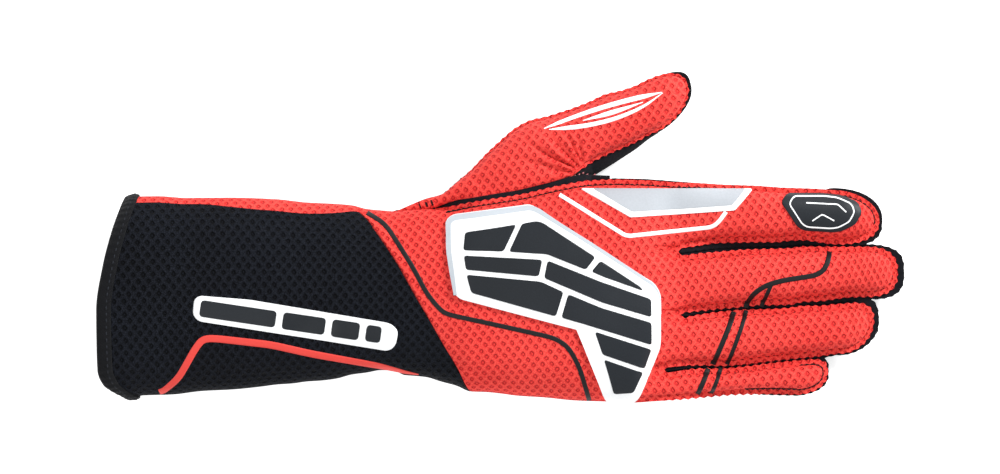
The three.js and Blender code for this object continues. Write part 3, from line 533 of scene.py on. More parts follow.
def hand_grids(top, cells):
    """Grids of the four strips with heights and pattern places."""
    strips = [strip_points(i, cells, top) for i in range(4)]
    near = int(round((SPREAD_X + 15.4) / ROW_STEP)) + 14
    grids, tops = [], []
    for i, (x, y, columns) in enumerate(strips):
        z = back_height(x, y) if top else palm_height(x, y)
        under_gauntlet = 1 - ease(1.3, 2.8, x - x[:1])
        z = z - under_gauntlet * np.where(x < 60, 1.05 if top else 0.0, 0.0)
        if not top and i:
            x_round, x_end = (TIPS[i]["round"][0] - 395) * 0.4, (TIPS[i]["end"] - 395) * 0.4
            under = 1.1 * ease(0.05, 0.8, slit_gap(i - 1, x)) * (1 - ease(x_round, x_end - 2, x))
            z = z - under * np.array([1 - t if kind == "upper" else 0.0 for kind, t in columns])
        points = np.stack([x, y, z], axis=2)
        weights = 1 - steps(3)[:-1]
        edge_x = x[:, 0]
        apart = ease(4, 8, edge_x - SPREAD_X - 2)
        first = ease(16, 26, edge_x) * (1 - 0.85 * ease(84, 92, edge_x)) if i == 0 else apart
        last = ease(104, 116, edge_x) if i == 3 else apart
        depth, phase = (SCALLOP_DEPTH, 0.0) if top else (0.4, 0.4)
        points = pinked(points, weights, first, 1, depth, phase)
        points = pinked(points, weights, last, -1, depth, phase)
        tops.append(points)
    anchor = []
    whole = np.concatenate([t[:near] for t in tops], axis=1)
    walked = row_lengths(whole)
    columns = tops[0].shape[1]
    centre = walked[:, 2 * columns - 1][:, None]
    for i, points in enumerate(tops):
        across = row_lengths(points)
        mid = columns // 2
        finger = points[:, mid, 1][:, None] - (across - across[:, mid][:, None])
        hand = np.array(finger)
        hand[:near] = whole[:, 2 * columns - 1, 1][:, None] - (walked - centre)[:, i * columns:(i + 1) * columns]
        blend = ease(-14, 0, points[..., 0] - SPREAD_X)
        v = mix(hand, finger, blend)
        walk = np.linalg.norm(np.diff(points, axis=0), axis=2)
        far = np.maximum(0, points[..., 0] - 180)
        u = points[..., 0] + 0.25 * far ** 1.2
        anchor.append((points, np.stack([u, v], axis=2)))
    return anchor


# ---------------------------------------------------------------- gauntlet
def sleeve(x, degrees):
    """Closed sleeve: a superellipse section, its upper half to the back's height, its lower to the ground."""
    middle, half = sides(x)
    sine, cosine = np.sin(np.radians(degrees)), np.cos(np.radians(degrees))
    up = np.abs(sine) ** (2 / ARCH)
    y = middle + half * signed_power(cosine, 2 / ARCH)
    seam = curve(SEAM_HEIGHT, x) + seam_level(x) * (sine >= 0)
    low = mix(seam, curve(FOOT_HEIGHT, x), np.minimum(1, up / 0.9))
    return np.stack([x, y, np.where(sine >= 0, back_height(x, y), low)], axis=-1)


def across_of(degrees):
    return signed_power(np.cos(np.radians(degrees)), 2 / ARCH)


def mouth_edge(degrees):
    back = curve(MOUTH, across_of(degrees))
    below = ease(0, 0.5, -np.sin(np.radians(degrees)))
    return 1.3 - GAUNTLET_LENGTH + 11.0 * mix(back, 1.0, below)


def strip_angle(x):
    return curve(STRIP_ANGLE, np.clip(x, -120, 0))


def gauntlet_grid(first, last, rows, columns, overlap):
    """Panel between two angles, from the mouth to the slant."""
    u, w = np.meshgrid(steps(rows), steps(columns), indexing="ij")
    x = -GAUNTLET_LENGTH * (1 - u)
    for _ in range(8):
        degrees = mix(first(x), last(x), w)
        x = mix(mouth_edge(degrees), curve(SLANT, across_of(degrees)) + overlap, u)
    points = sleeve(x, mix(first(x), last(x), w))
    walked = row_lengths(points)
    middle = columns // 2
    v = points[:, middle, 1][:, None] - (walked - walked[:, middle][:, None])
    return points, np.stack([points[..., 0], v], axis=2)


# ---------------------------------------------------------------- thumb
# Rows across the thumb's back: outer edge, inner edge, height, and how far the black side shows inside
THUMB_ROWS = [
    ((391, 211.6), (392, 214.0), 10.4, 0.0), ((410, 203.0), (411, 210.5), 12.2, 0.0),
    ((425, 197.0), (427, 209.0), 13.6, 0.0), ((440, 193.0), (442, 203.2), 15.0, 0.0),
    ((455, 181.0), (459, 198.4), 16.4, 0.0), ((470, 168.0), (478, 196.5), 18.0, 0.0),
    ((485, 152.0), (497, 192.5), 19.6, 0.0), ((500, 138.0), (515, 189.5), 20.6, 0.0),
    ((515, 125.5), (532, 185.5), 21.2, 0.0), ((530, 118.0), (550, 181.0), 21.2, 0.0),
    ((545, 114.5), (567, 175.5), 20.8, 0.0), ((560, 110.0), (581, 167.5), 20.2, 3.8),
    ((575, 105.0), (592.5, 160.0), 19.8, 5.4), ((590, 99.0), (606.5, 153.0), 19.4, 4.8),
    ((605, 92.0), (621, 146.8), 19.0, 3.7), ((620, 88.5), (635, 140.6), 18.4, 2.6),
    ((635, 83.5), (648, 133.5), 17.8, 1.5), ((644, 79.0), (657, 129.5), 17.2, 0.9),
]
THUMB_SEAM_ROWS = 10
TIP_AXIS = np.array([math.cos(math.radians(25)), math.sin(math.radians(25))])
TIP_SIDE = np.array([-TIP_AXIS[1], TIP_AXIS[0]])
THUMB_CREASES = [
    ((583, 171), (540, 126), 1.0, 2.0), ((582, 170), (512, 136), 1.0, 1.8), ((580, 173), (500, 154), 1.1, 1.5),
    ((584, 168), (558, 118), 0.9, 1.6), ((581, 172), (515, 168), 1.1, 1.1), ((584, 166), (573, 124), 0.8, 1.1),
    ((582, 171), (528, 146), 0.7, 1.2), ((583, 170), (549, 124), 0.6, 1.0), ((470, 178), (500, 186), 2.4, 0.5),
    ((640, 96), (668, 84), 2.0, 0.35), ((600, 120), (640, 112), 3.0, 0.3),
]


def thumb_rows(step=0.8, black=False):
    """Smooth rows of the thumb: outer and inner plan places, height, seam rise and side bulge."""
    outer = drawn([r[0] for r in THUMB_ROWS])
    inner = drawn([r[1] for r in THUMB_ROWS])
    height = np.array([r[2] for r in THUMB_ROWS])
    bulge = np.array([r[3] for r in THUMB_ROWS])
    index = np.arange(len(THUMB_ROWS), dtype=float)
    length = np.linalg.norm(outer[-1] - outer[0])
    k = np.linspace(0, index[-1], int(length / step * 1.15))
    o = np.stack([curve(np.column_stack([index, outer[:, a]]), k) for a in (0, 1)], axis=1)
    n = np.stack([curve(np.column_stack([index, inner[:, a]]), k) for a in (0, 1)], axis=1)
    h = curve(np.column_stack([index, height]), k)
    b = curve(np.column_stack([index, bulge]), k)
    rim = back_rim(n[:, 0]) - 0.7
    free = ease(THUMB_SEAM_ROWS, THUMB_SEAM_ROWS + 3.5, k)
    z_in = mix(rim, 13.0 - 0.7 * (k - THUMB_SEAM_ROWS), free)
    z_in = np.where(k > THUMB_SEAM_ROWS + 3.5, np.maximum(13.0 - 0.7 * (k - THUMB_SEAM_ROWS), THUMB_RIM), z_in)
    z_out = mix(curve(SEAM_HEIGHT, o[:, 0]) + 0.2, THUMB_RIM, ease(3, 7, k))
    return o, n, h, b, z_out, z_in, k


def thumb_back_grid(cells=48, tip_rows=34, lip_cells=3):
    """Back of the thumb: rows of a bow from the outer flange to the inner edge, then a rounded tip."""
    o, n, h, b, z_out, z_in, k = thumb_rows()
    width = np.linalg.norm(o - n, axis=1)
    across = (o - n) / width[:, None]
    lip = THUMB_FLANGE * ease(3, 7, k)
    lip_in = THUMB_FLANGE * ease(THUMB_SEAM_ROWS, THUMB_SEAM_ROWS + 1.5, k)
    nose = np.ones_like(k)
    turn = steps(tip_rows)[1:] * np.pi / 2
    power = 2.1
    far, opening = np.sin(turn) ** (2 / power), np.cos(turn) ** (2 / power)
    opening[-1] = 0.0
    reach = 17.3
    middle, half = (o[-1] + n[-1]) / 2, width[-1] / 2
    lean = (o[-1] - n[-1]) / width[-1]
    tip_middle = middle + np.outer(far * reach, TIP_AXIS) + np.outer(far ** 1.5 * 1.4, TIP_SIDE)
    tip_out = tip_middle + np.outer(opening * half, lean)
    tip_in = tip_middle - np.outer(opening * half, lean)
    foot_middle = middle + np.outer(far * (reach - THUMB_FLANGE), TIP_AXIS) + np.outer(far ** 1.5 * 1.4, TIP_SIDE)
    foot_half = (half - THUMB_FLANGE) * opening
    foot_out = foot_middle + np.outer(foot_half, lean)
    foot_in = foot_middle - np.outer(foot_half, lean)
    f_out = np.vstack([o - across * lip[:, None], foot_out])
    f_in = np.vstack([n + across * lip_in[:, None], foot_in])
    o, n = np.vstack([o, tip_out]), np.vstack([n, tip_in])
    tail = np.ones(tip_rows)
    z_out = np.concatenate([z_out, tail * z_out[-1]])
    z_in = np.concatenate([z_in, mix(z_in[-1], THUMB_RIM, far)])
    h = np.concatenate([h, mix(h[-1], 15.4, far)])
    nose = np.concatenate([nose, np.maximum(0, 1 - far ** 2.6) ** 0.5])
    b = np.concatenate([b, tail * 0.6])
    w = (1 - np.cos(np.pi * steps(cells))) / 2
    base = mix(z_out[:, None], z_in[:, None], w)
    bow = np.sin(np.pi * steps(cells)) ** (2 / ARCH)
    z = mix(base, np.maximum(h[:, None], base), bow * nose[:, None])
    xy = mix(f_out[:, None, :], f_in[:, None, :], w[None, :, None])
    lips = steps(lip_cells)[:-1]
    out_xy = mix(o[:, None, :], f_out[:, None, :], lips[None, :, None])
    in_xy = mix(f_in[:, None, :], n[:, None, :], steps(lip_cells)[1:][None, :, None])
    xy = np.concatenate([out_xy, xy, in_xy], axis=1)
    z = np.concatenate([np.repeat(z_out[:, None], lip_cells, 1), z, np.repeat(z_in[:, None], lip_cells, 1)], axis=1)
    depth = np.zeros_like(z)
    for start, end, wide, deep in THUMB_CREASES:
        a, e = drawn([start, end])
        along = e - a
        length = np.hypot(*along)
        t = ((xy[..., 0] - a[0]) * along[0] + (xy[..., 1] - a[1]) * along[1]) / length ** 2
        d = np.abs((xy[..., 0] - a[0]) * along[1] - (xy[..., 1] - a[1]) * along[0]) / length
        fade = ease(-0.03, 0.1, t) * (1 - ease(0.35, 1.1, t))
        depth += deep * np.exp(-(d / (wide * np.clip(0.45 + 1.1 * t, 0.45, 1.6))) ** 2) * fade
    calm = np.concatenate([np.zeros(lip_cells), ease(0, 0.12, w) * (1 - ease(0.9, 1.0, w) * 0.7), np.zeros(lip_cells)])
    z = z - depth * calm + (0.3 * ripple(xy[..., 0], xy[..., 1], 18, 21)) * calm * nose[:, None]
    points = np.dstack([xy, z])
    place = row_lengths(points)
    mid = place.shape[1] // 2
    v = xy[:, mid, 1][:, None] - (place - place[:, mid][:, None])
    places = np.stack([xy[..., 0], v], axis=2)
    count = np.arange(len(z), dtype=float)
    weights = 1 - steps(lip_cells)[:-1]
    points = pinked(points, weights, ease(30, 60, count) * 0.6, 1)
    points = pinked(points, weights, ease(len(k) * 0.6, len(k) * 0.68, count), -1)
    return points, places, (o, n, f_out, f_in, z_out, z_in, b, nose)


def thumb_palm_grid(edges, cells=26):
    """Black side of the thumb: under the outer flange, flat on the ground, and up the inner side."""
    o, n, f_out, f_in, z_out, z_in, b, nose = edges
    width = np.maximum(np.linalg.norm(o - n, axis=1), 1e-6)
    across = np.where(width[:, None] > 0.5, (o - n) / width[:, None], 0)
    count = len(o)
    past = ease(count - 30, count - 6, np.arange(count))
    grow_out = 1.2 * past - 0.25
    tip = np.outer(past * 1.3, TIP_AXIS)
    edge_out = o + across * grow_out[:, None] + tip
    inner = n - across * b[:, None] + tip
    w = (1 - np.cos(np.pi * steps(cells))) / 2
    low_in = inner + across * 0.8
    xy = mix(f_out[:, None, :], low_in[:, None, :], w[None, :, None])
    out_base, in_base = z_out - 1.9, np.minimum(z_in - 2.0, 5.5)
    base = mix(out_base[:, None], in_base[:, None], w)
    bow = np.minimum(1, np.sin(np.pi * steps(cells)) ** (2 / ARCH) / 0.8)
    deepening = ease(0, 16, np.arange(count))
    z = base * (1 - bow * (nose * deepening)[:, None])
    side_t = steps(8)[1:]
    top_in = n - across * 0.3 + tip
    side = mix(inner[:, None, :], top_in[:, None, :], (side_t ** 1.6)[None, :, None])
    side_z = mix(in_base[:, None], (z_in - 1.0)[:, None], side_t)
    last = mix(top_in, f_in, 0.8)[:, None, :]
    xy = np.concatenate([edge_out[:, None, :], mix(edge_out, f_out, 0.5)[:, None, :], xy, side, last], axis=1)
    z = np.concatenate([out_base[:, None], out_base[:, None], z, side_z, (z_in - 1.0)[:, None]], axis=1)
    points = np.dstack([xy, z])
    walked = row_lengths(points)
    return points, np.stack([xy[..., 0], walked], axis=2)


# ---------------------------------------------------------------- films, ribbons, thread
def on_back(x, y):
    return np.stack([x, y, back_height(x, y)], axis=-1)


def sampled(sheet, x, y):
    """Value of a regular sheet of heights at any place, by shares of its four nearest squares."""
    left, low, step, heights = sheet
    u = np.clip((x - left) / step, 0, heights.shape[0] - 1.001)
    v = np.clip((y - low) / step, 0, heights.shape[1] - 1.001)
    a, b = u.astype(int), v.astype(int)
    u, v = u - a, v - b
    return mix(mix(heights[a, b], heights[a + 1, b], u), mix(heights[a, b + 1], heights[a + 1, b + 1], u), v)


def sheet_of(height, left, right, low, high, step):
    x, y = np.meshgrid(np.arange(left, right, step), np.arange(low, high, step), indexing="ij")
    return left, low, step, height(x, y)


def bridged_sheet(reach):
    """Back as a film lies on it: the mean height of eight places round each, never under the cloth."""
    left, low, step, heights = BACK_SHEET
    x = left + np.arange(heights.shape[0])[:, None] * step
    y = low + np.arange(heights.shape[1])[None, :] * step
    around = sum(sampled(BACK_SHEET, x + reach * math.cos(t), y + reach * math.sin(t))
                 for t in np.arange(8) * math.pi / 4) / 8
    return left, low, step, np.maximum(around, heights)


BACK_SHEET = sheet_of(back_height, -118.0, 204.0, -47.0, 47.0, 0.4)
FILM_SHEET = bridged_sheet(0.8)
STIFF_SHEET = bridged_sheet(4.0)


def bridged(x, y):
    return np.stack([x, y, sampled(FILM_SHEET, x, y)], axis=-1)


def stiff(x, y):
    """The back as the thick guard lies on it, bridging the valleys between the knuckles."""
    return np.stack([x, y, sampled(STIFF_SHEET, x, y)], axis=-1)


def thumb_height(x, y):
    """Height of the thumb's back: the mean of its grid's points, weighted by a narrow Gaussian."""
    flat = thumb_grid.reshape(-1, 3)
    across = np.exp(-(x[:, :1] - flat[:, 0]) ** 2 / (2 * 0.6 ** 2))
    along = np.exp(-(y[:1].T - flat[:, 1]) ** 2 / (2 * 0.6 ** 2))
    return (across @ (along * flat[:, 2]).T) / ((across @ along.T) + 1e-12)


def on_thumb(x, y):
    return np.stack([x, y, sampled(THUMB_SHEET, x, y)], axis=-1)


def lifted(place, x, y, lift, d=0.15):
    """Places on a surface, moved out along its normal, the cross product of its two slopes."""
    u = place(x + d, y) - place(x - d, y)
    v = place(x, y + d) - place(x, y - d)
    normal = np.cross(u, v)
    normal /= np.maximum(np.linalg.norm(normal, axis=-1, keepdims=True), 1e-9)
    return place(x, y) + normal * np.asarray(lift)[..., None]


def rounded(corners, radius, turn_steps=6):
    """Closed outline with its corners replaced by parabolas, then evenly spaced points every 0.7 mm."""
    c = np.asarray(corners, float)
    before, after = np.roll(c, 1, 0), np.roll(c, -1, 0)
    to_before, to_after = before - c, after - c
    l0 = np.linalg.norm(to_before, axis=1, keepdims=True)
    l1 = np.linalg.norm(to_after, axis=1, keepdims=True)
    r = np.minimum(radius, 0.48 * np.minimum(l0, l1))
    a, b = c + to_before / l0 * r, c + to_after / l1 * r
    t = steps(turn_steps)[None, :, None]
    arc = a[:, None] * (1 - t) ** 2 + 2 * c[:, None] * t * (1 - t) + b[:, None] * t ** 2
    loop = arc.reshape(-1, 2)
    return spaced(np.vstack([loop, loop[:1]]), 0.7)[:-1]


def spaced(path, step):
    """Points at equal steps along a path."""
    walk = np.concatenate([[0], np.cumsum(np.linalg.norm(np.diff(path, axis=0), axis=1))])
    count = max(4, int(round(walk[-1] / step)))
    at = np.linspace(0, walk[-1], count + 1)
    return np.stack([np.interp(at, walk, path[:, a]) for a in range(path.shape[1])], axis=1)


def film(name, corners, radius, thickness, under, finish, stands_for=(), place=bridged, bevel=0.45,
         skirt=0.25):
    """Flat film with a soft edge: rings from its outline to its middle, over and under."""
    loop = rounded(corners, radius)
    centre = loop.mean(axis=0)
    reach = np.linalg.norm(loop - centre, axis=1).mean()
    inset = np.array([0.0, 0.12, bevel * 0.5, bevel])
    rise = np.array([0.15, 0.62, 0.92, 1.0])
    count = max(5, int(reach / 1.1))
    share = np.concatenate([inset / reach, mix(bevel / reach, 1.0, steps(count)[1:])])
    lift = np.concatenate([rise, np.ones(count)]) * thickness + under
    closed = np.vstack([loop, loop[:1]])
    flat = mix(closed[None], centre[None, None], share[:, None, None])
    over = lifted(place, flat[..., 0], flat[..., 1], np.broadcast_to(lift[:, None], flat.shape[:2]))
    below = lifted(place, flat[..., 0], flat[..., 1], np.full(flat.shape[:2], under - skirt))
    below[0] = over[0]
    grids = [(over, flat), (below[:, ::-1], flat[:, ::-1])]
    return surface(name, grids, finish, stands_for, sharp=70)


def ribbon(path, width, place, lift=0.16, step=0.8, ends=True, round_to=2.0):
    """Printed line: a path with rounded bends, five points across, closed under. Gives its grid."""
    path = np.asarray(path, float)
    if len(path) > 2 and round_to:
        bent = [path[:1]]
        for before, at, after in zip(path[:-2], path[1:-1], path[2:]):
            r0 = min(round_to, 0.45 * np.linalg.norm(at - before)) / np.linalg.norm(at - before)
            r1 = min(round_to, 0.45 * np.linalg.norm(after - at)) / np.linalg.norm(after - at)
            t = steps(8)[:, None]
            a, b = mix(at, before, r0), mix(at, after, r1)
            bent.append(a * (1 - t) ** 2 + 2 * at * t * (1 - t) + b * t * t)
        bent.append(path[-1:])
        path = np.vstack(bent)
    line = spaced(path, step)
    ahead = np.gradient(line, axis=0)
    ahead /= np.linalg.norm(ahead, axis=1, keepdims=True)
    side = np.column_stack([-ahead[:, 1], ahead[:, 0]])
    if np.ndim(width):
        width = curve(width, np.linspace(0, 1, len(line)))
    else:
        width = np.full(len(line), width)
    across = np.array([-0.5, -0.42, -0.2, 0.0, 0.2, 0.42, 0.5])
    rise = np.array([0.0, 1.0, 1.0, 1.0, 1.0, 1.0, 0.0])
    flat = line[:, None] + side[:, None] * (width[:, None] * across)[..., None]
    lifts = np.broadcast_to(-0.1 + (lift + 0.1) * rise, flat.shape[:2])
    return lifted(place, flat[..., 0], flat[..., 1], lifts), flat


def thread(name, runs, pitch, length, wide, finish, lift=0.1):
    """Row of stitches along paths with normals: each a small spindle, five sided, laid on the cloth."""
    around, along = 6, np.array([-0.5, -0.3, 0.0, 0.3, 0.5])
    girth = np.array([0.25, 0.9, 1.0, 0.9, 0.25])
    angle = np.arange(around) / around * 2 * np.pi
    points, faces, start = [], [], 0
    one = grid_faces(len(along), around + 1)
    one = np.where(one % (around + 1) == around, one - around, one)
    one = one // (around + 1) * around + one % (around + 1)
    caps_a, caps_b = np.arange(around)[::-1], np.arange(around) + (len(along) - 1) * around
    all_faces = []
    for path, normal in runs:
        walk = np.concatenate([[0], np.cumsum(np.linalg.norm(np.diff(path, axis=0), axis=1))])
        count = int(walk[-1] / pitch)
        if count < 1:
            continue
        at = (np.arange(count) + 0.5) * pitch
        centre = np.stack([np.interp(at, walk, path[:, a]) for a in range(3)], axis=1)
        up = np.stack([np.interp(at, walk, normal[:, a]) for a in range(3)], axis=1)
        up /= np.linalg.norm(up, axis=1, keepdims=True)
        before = np.stack([np.interp(at - 0.3, walk, path[:, a]) for a in range(3)], axis=1)
        after = np.stack([np.interp(at + 0.3, walk, path[:, a]) for a in range(3)], axis=1)
        ahead = (after - before) / np.maximum(np.linalg.norm(after - before, axis=1, keepdims=True), 1e-9)
        side = np.cross(up, ahead)
        ring = (np.cos(angle)[None, None, :, None] * side[:, None, None, :]
                + 0.7 * np.sin(angle)[None, None, :, None] * up[:, None, None, :])
        body = (centre[:, None, None, :] + up[:, None, None, :] * lift
                + ahead[:, None, None, :] * (along * length)[None, :, None, None]
                - up[:, None, None, :] * (np.abs(along) * 2 * wide * 0.5)[None, :, None, None]
                + ring * (girth * wide / 2)[None, :, None, None])
        size = len(along) * around
        points.append(body.reshape(-1, 3))
        base = start + np.arange(count) * size
        all_faces += (base[:, None, None] + one[None]).reshape(-1, 4).tolist()
        all_faces += (base[:, None] + caps_a[None]).tolist() + (base[:, None] + caps_b[None]).tolist()
        start += count * size
    mesh = bpy.data.meshes.new(name)
    mesh.from_pydata(to_frame(np.vstack(points)).tolist(), [], all_faces)
    fix = bmesh.new()
    fix.from_mesh(mesh)
    bmesh.ops.recalc_face_normals(fix, faces=fix.faces)
    fix.to_mesh(mesh)
    fix.free()
    return place_piece(name, mesh, finish, sharp=80)


def run_on(place, path, step=0.6):
    """A path laid on a surface with its normals, for stitches."""
    line = spaced(np.asarray(path, float), step)
    at = lifted(place, line[:, 0], line[:, 1], np.zeros(len(line)))
    out = lifted(place, line[:, 0], line[:, 1], np.ones(len(line)))
    return at, out - at


# ---------------------------------------------------------------- finishes
def socket_group(name, inputs, outputs):
    """Empty node group with named inputs and outputs."""
    group = bpy.data.node_groups.new(name, "ShaderNodeTree")
    for label, kind, value in inputs:
        made = group.interface.new_socket(name=label, in_out="INPUT", socket_type=kind)
        if value is not None:
            made.default_value = value
    for label, kind in outputs:
        group.interface.new_socket(name=label, in_out="OUTPUT", socket_type=kind)
    return group, group.nodes.new("NodeGroupInput"), group.nodes.new("NodeGroupOutput")


def math_node(tree, operation, a, b=None, c=None, clamp=False):
    node = tree.nodes.new("ShaderNodeMath")
    node.operation = operation
    node.use_clamp = clamp
    for socket, value in zip(node.inputs, (a, b, c)):
        if value is None:
            continue
        if hasattr(value, "links"):
            tree.links.new(value, socket)
        else:
            socket.default_value = value
    return node.outputs[0]


def vector_node(tree, operation, a, b=None):
    node = tree.nodes.new("ShaderNodeVectorMath")
    node.operation = operation
    for socket, value in zip(node.inputs, (a, b)):
        if value is None:
            continue
        if hasattr(value, "links"):
            tree.links.new(value, socket)
        else:
            socket.default_value = value
    return node.outputs["Value"] if operation in ("LENGTH", "DISTANCE", "DOT_PRODUCT") else node.outputs[0]


def noise(tree, vector, scale, detail=3.0, roughness=0.55):
    node = tree.nodes.new("ShaderNodeTexNoise")
    node.inputs["Scale"].default_value = scale
    node.inputs["Detail"].default_value = detail
    node.inputs["Roughness"].default_value = roughness
    tree.links.new(vector, node.inputs["Vector"])
    return node.outputs["Fac"]


def ramp(tree, value, low, high, out_low=0.0, out_high=1.0):
    node = tree.nodes.new("ShaderNodeMapRange")
    node.interpolation_type = "SMOOTHSTEP"
    for label, v in (("From Min", low), ("From Max", high), ("To Min", out_low), ("To Max", out_high)):
        node.inputs[label].default_value = v
    tree.links.new(value, node.inputs["Value"])
    return node.outputs["Result"]


def blend_colour(tree, factor, a, b, mode="MIX"):
    node = tree.nodes.new("ShaderNodeMix")
    node.data_type = "RGBA"
    node.blend_type = mode
    for socket, value in ((node.inputs[0], factor), (node.inputs[6], a), (node.inputs[7], b)):
        if hasattr(value, "links"):
            tree.links.new(value, socket)
        else:
            socket.default_value = value
    return node.outputs[2]


def colour(text):
    """Linear colour from a six-digit one."""
    c = [int(text[i:i + 2], 16) / 255 for i in (0, 2, 4)]
    return tuple(v / 12.92 if v <= 0.04045 else ((v + 0.055) / 1.055) ** 2.4 for v in c) + (1.0,)


def dimple_group():
    """Knit dimples on a six-sided lattice: distance to the nearest place of two interleaved rectangular
    grids, half round and half diamond shaped, turned to lie along the cloth; a ring at one distance and a
    pit inside another."""
    group, start, end = socket_group(
        "knit dimples",
        [("Vector", "NodeSocketVector", None), ("Turn", "NodeSocketFloat", 0.0),
         ("Cell", "NodeSocketVector", (3.63, 5.28, 1.0))],
        [("Ring", "NodeSocketFloat"), ("Pit", "NodeSocketFloat"), ("Crest", "NodeSocketFloat"),
         ("Knit", "NodeSocketFloat")])
    turn = group.nodes.new("ShaderNodeVectorRotate")
    turn.rotation_type = "Z_AXIS"
    group.links.new(start.outputs["Vector"], turn.inputs["Vector"])
    group.links.new(start.outputs["Turn"], turn.inputs["Angle"])
    cell = start.outputs["Cell"]
    wobble = group.nodes.new("ShaderNodeTexNoise")
    wobble.inputs["Scale"].default_value = 0.35
    wobble.inputs["Detail"].default_value = 1.0
    group.links.new(turn.outputs[0], wobble.inputs["Vector"])
    shift = vector_node(group, "SCALE", vector_node(group, "SUBTRACT", wobble.outputs["Color"], (0.5, 0.5, 0.5)))
    shift.node.inputs["Scale"].default_value = 0.9
    p = vector_node(group, "ADD", turn.outputs[0], shift)
    nearest = []
    for offset in ((0.0, 0.0, 0.0), (0.5, 0.5, 0.0)):
        q = vector_node(group, "ADD", vector_node(group, "DIVIDE", p, cell), offset)
        q = vector_node(group, "SUBTRACT", vector_node(group, "FRACTION", q), (0.5, 0.5, 0.0))
        q = vector_node(group, "MULTIPLY", q, cell)
        q = vector_node(group, "ABSOLUTE", vector_node(group, "MULTIPLY", q, (1.2, 0.96, 0.0)))
        round_off = math_node(group, "MULTIPLY", vector_node(group, "LENGTH", q), 0.5)
        pointed = vector_node(group, "DOT_PRODUCT", q, (0.42, 0.42, 0.0))
        nearest.append(math_node(group, "ADD", round_off, pointed))
    d = math_node(group, "MINIMUM", *nearest)
    off = math_node(group, "ABSOLUTE", math_node(group, "SUBTRACT", d, 0.7))
    # Ring: a groove in the bump, which dimpled_cloth also darkens in colour as painted shade
    ring = ramp(group, off, 0.1, 0.46, 1.0, 0.0)
    pit = ramp(group, d, 0.35, 1.25, 1.0, 0.0)
    # Crest: the flats between dimples, which dimpled_cloth paints lighter as a highlight
    crest = ramp(group, d, 1.05, 1.75)
    knit = group.nodes.new("ShaderNodeTexNoise")
    knit.inputs["Scale"].default_value = 2.6
    knit.inputs["Detail"].default_value = 3.0
    group.links.new(p, knit.inputs["Vector"])
    group.links.new(ring, end.inputs["Ring"])
    group.links.new(pit, end.inputs["Pit"])
    group.links.new(crest, end.inputs["Crest"])
    group.links.new(knit.outputs["Fac"], end.inputs["Knit"])
    return group


def uneven_group():
    """Slow change over the cloth from handling and light wear: two sizes of noise on Object coordinates."""
    group, start, end = socket_group(
        "uneven", [("Vector", "NodeSocketVector", None)],
        [("Slow", "NodeSocketFloat"), ("Scuff", "NodeSocketFloat")])
    slow = noise(group, start.outputs["Vector"], 28.0, 2.0)
    fine = noise(group, start.outputs["Vector"], 160.0, 4.0, 0.65)
    group.links.new(ramp(group, slow, 0.3, 0.7), end.inputs["Slow"])
    scuff = math_node(group, "MULTIPLY", ramp(group, slow, 0.55, 0.75), ramp(group, fine, 0.5, 0.72))
    group.links.new(scuff, end.inputs["Scuff"])
    return group


DIMPLES = dimple_group()
UNEVEN = uneven_group()


def new_finish(name):
    finish = bpy.data.materials.new(name)
    finish.use_nodes = True
    tree = finish.node_tree
    shader = tree.nodes["Principled BSDF"]
    return finish, tree, shader


def source(tree, kind):
    """Coordinates: the piece's own cloth map, or Object coordinates."""
    if kind == "cloth":
        node = tree.nodes.new("ShaderNodeUVMap")
        node.uv_map = "cloth"
        return node.outputs[0]
    return tree.nodes.new("ShaderNodeTexCoord").outputs["Object"]


def place_group(tree, group, vector):
    node = tree.nodes.new("ShaderNodeGroup")
    node.node_tree = group
    tree.links.new(vector, node.inputs["Vector"])
    return node


def set_shader(shader, roughness=0.7, sheen=0.0, sheen_rough=0.5, coat=0.0, specular=0.5):
    shader.inputs["Roughness"].default_value = roughness
    shader.inputs["Sheen Weight"].default_value = sheen
    shader.inputs["Sheen Roughness"].default_value = sheen_rough
    shader.inputs["Coat Weight"].default_value = coat
    shader.inputs["Specular IOR Level"].default_value = specular


def bump(tree, shader, height, strength, distance):
    node = tree.nodes.new("ShaderNodeBump")
    node.inputs["Strength"].default_value = strength
    node.inputs["Distance"].default_value = distance
    tree.links.new(height, node.inputs["Height"])
    tree.links.new(node.outputs["Normal"], shader.inputs["Normal"])


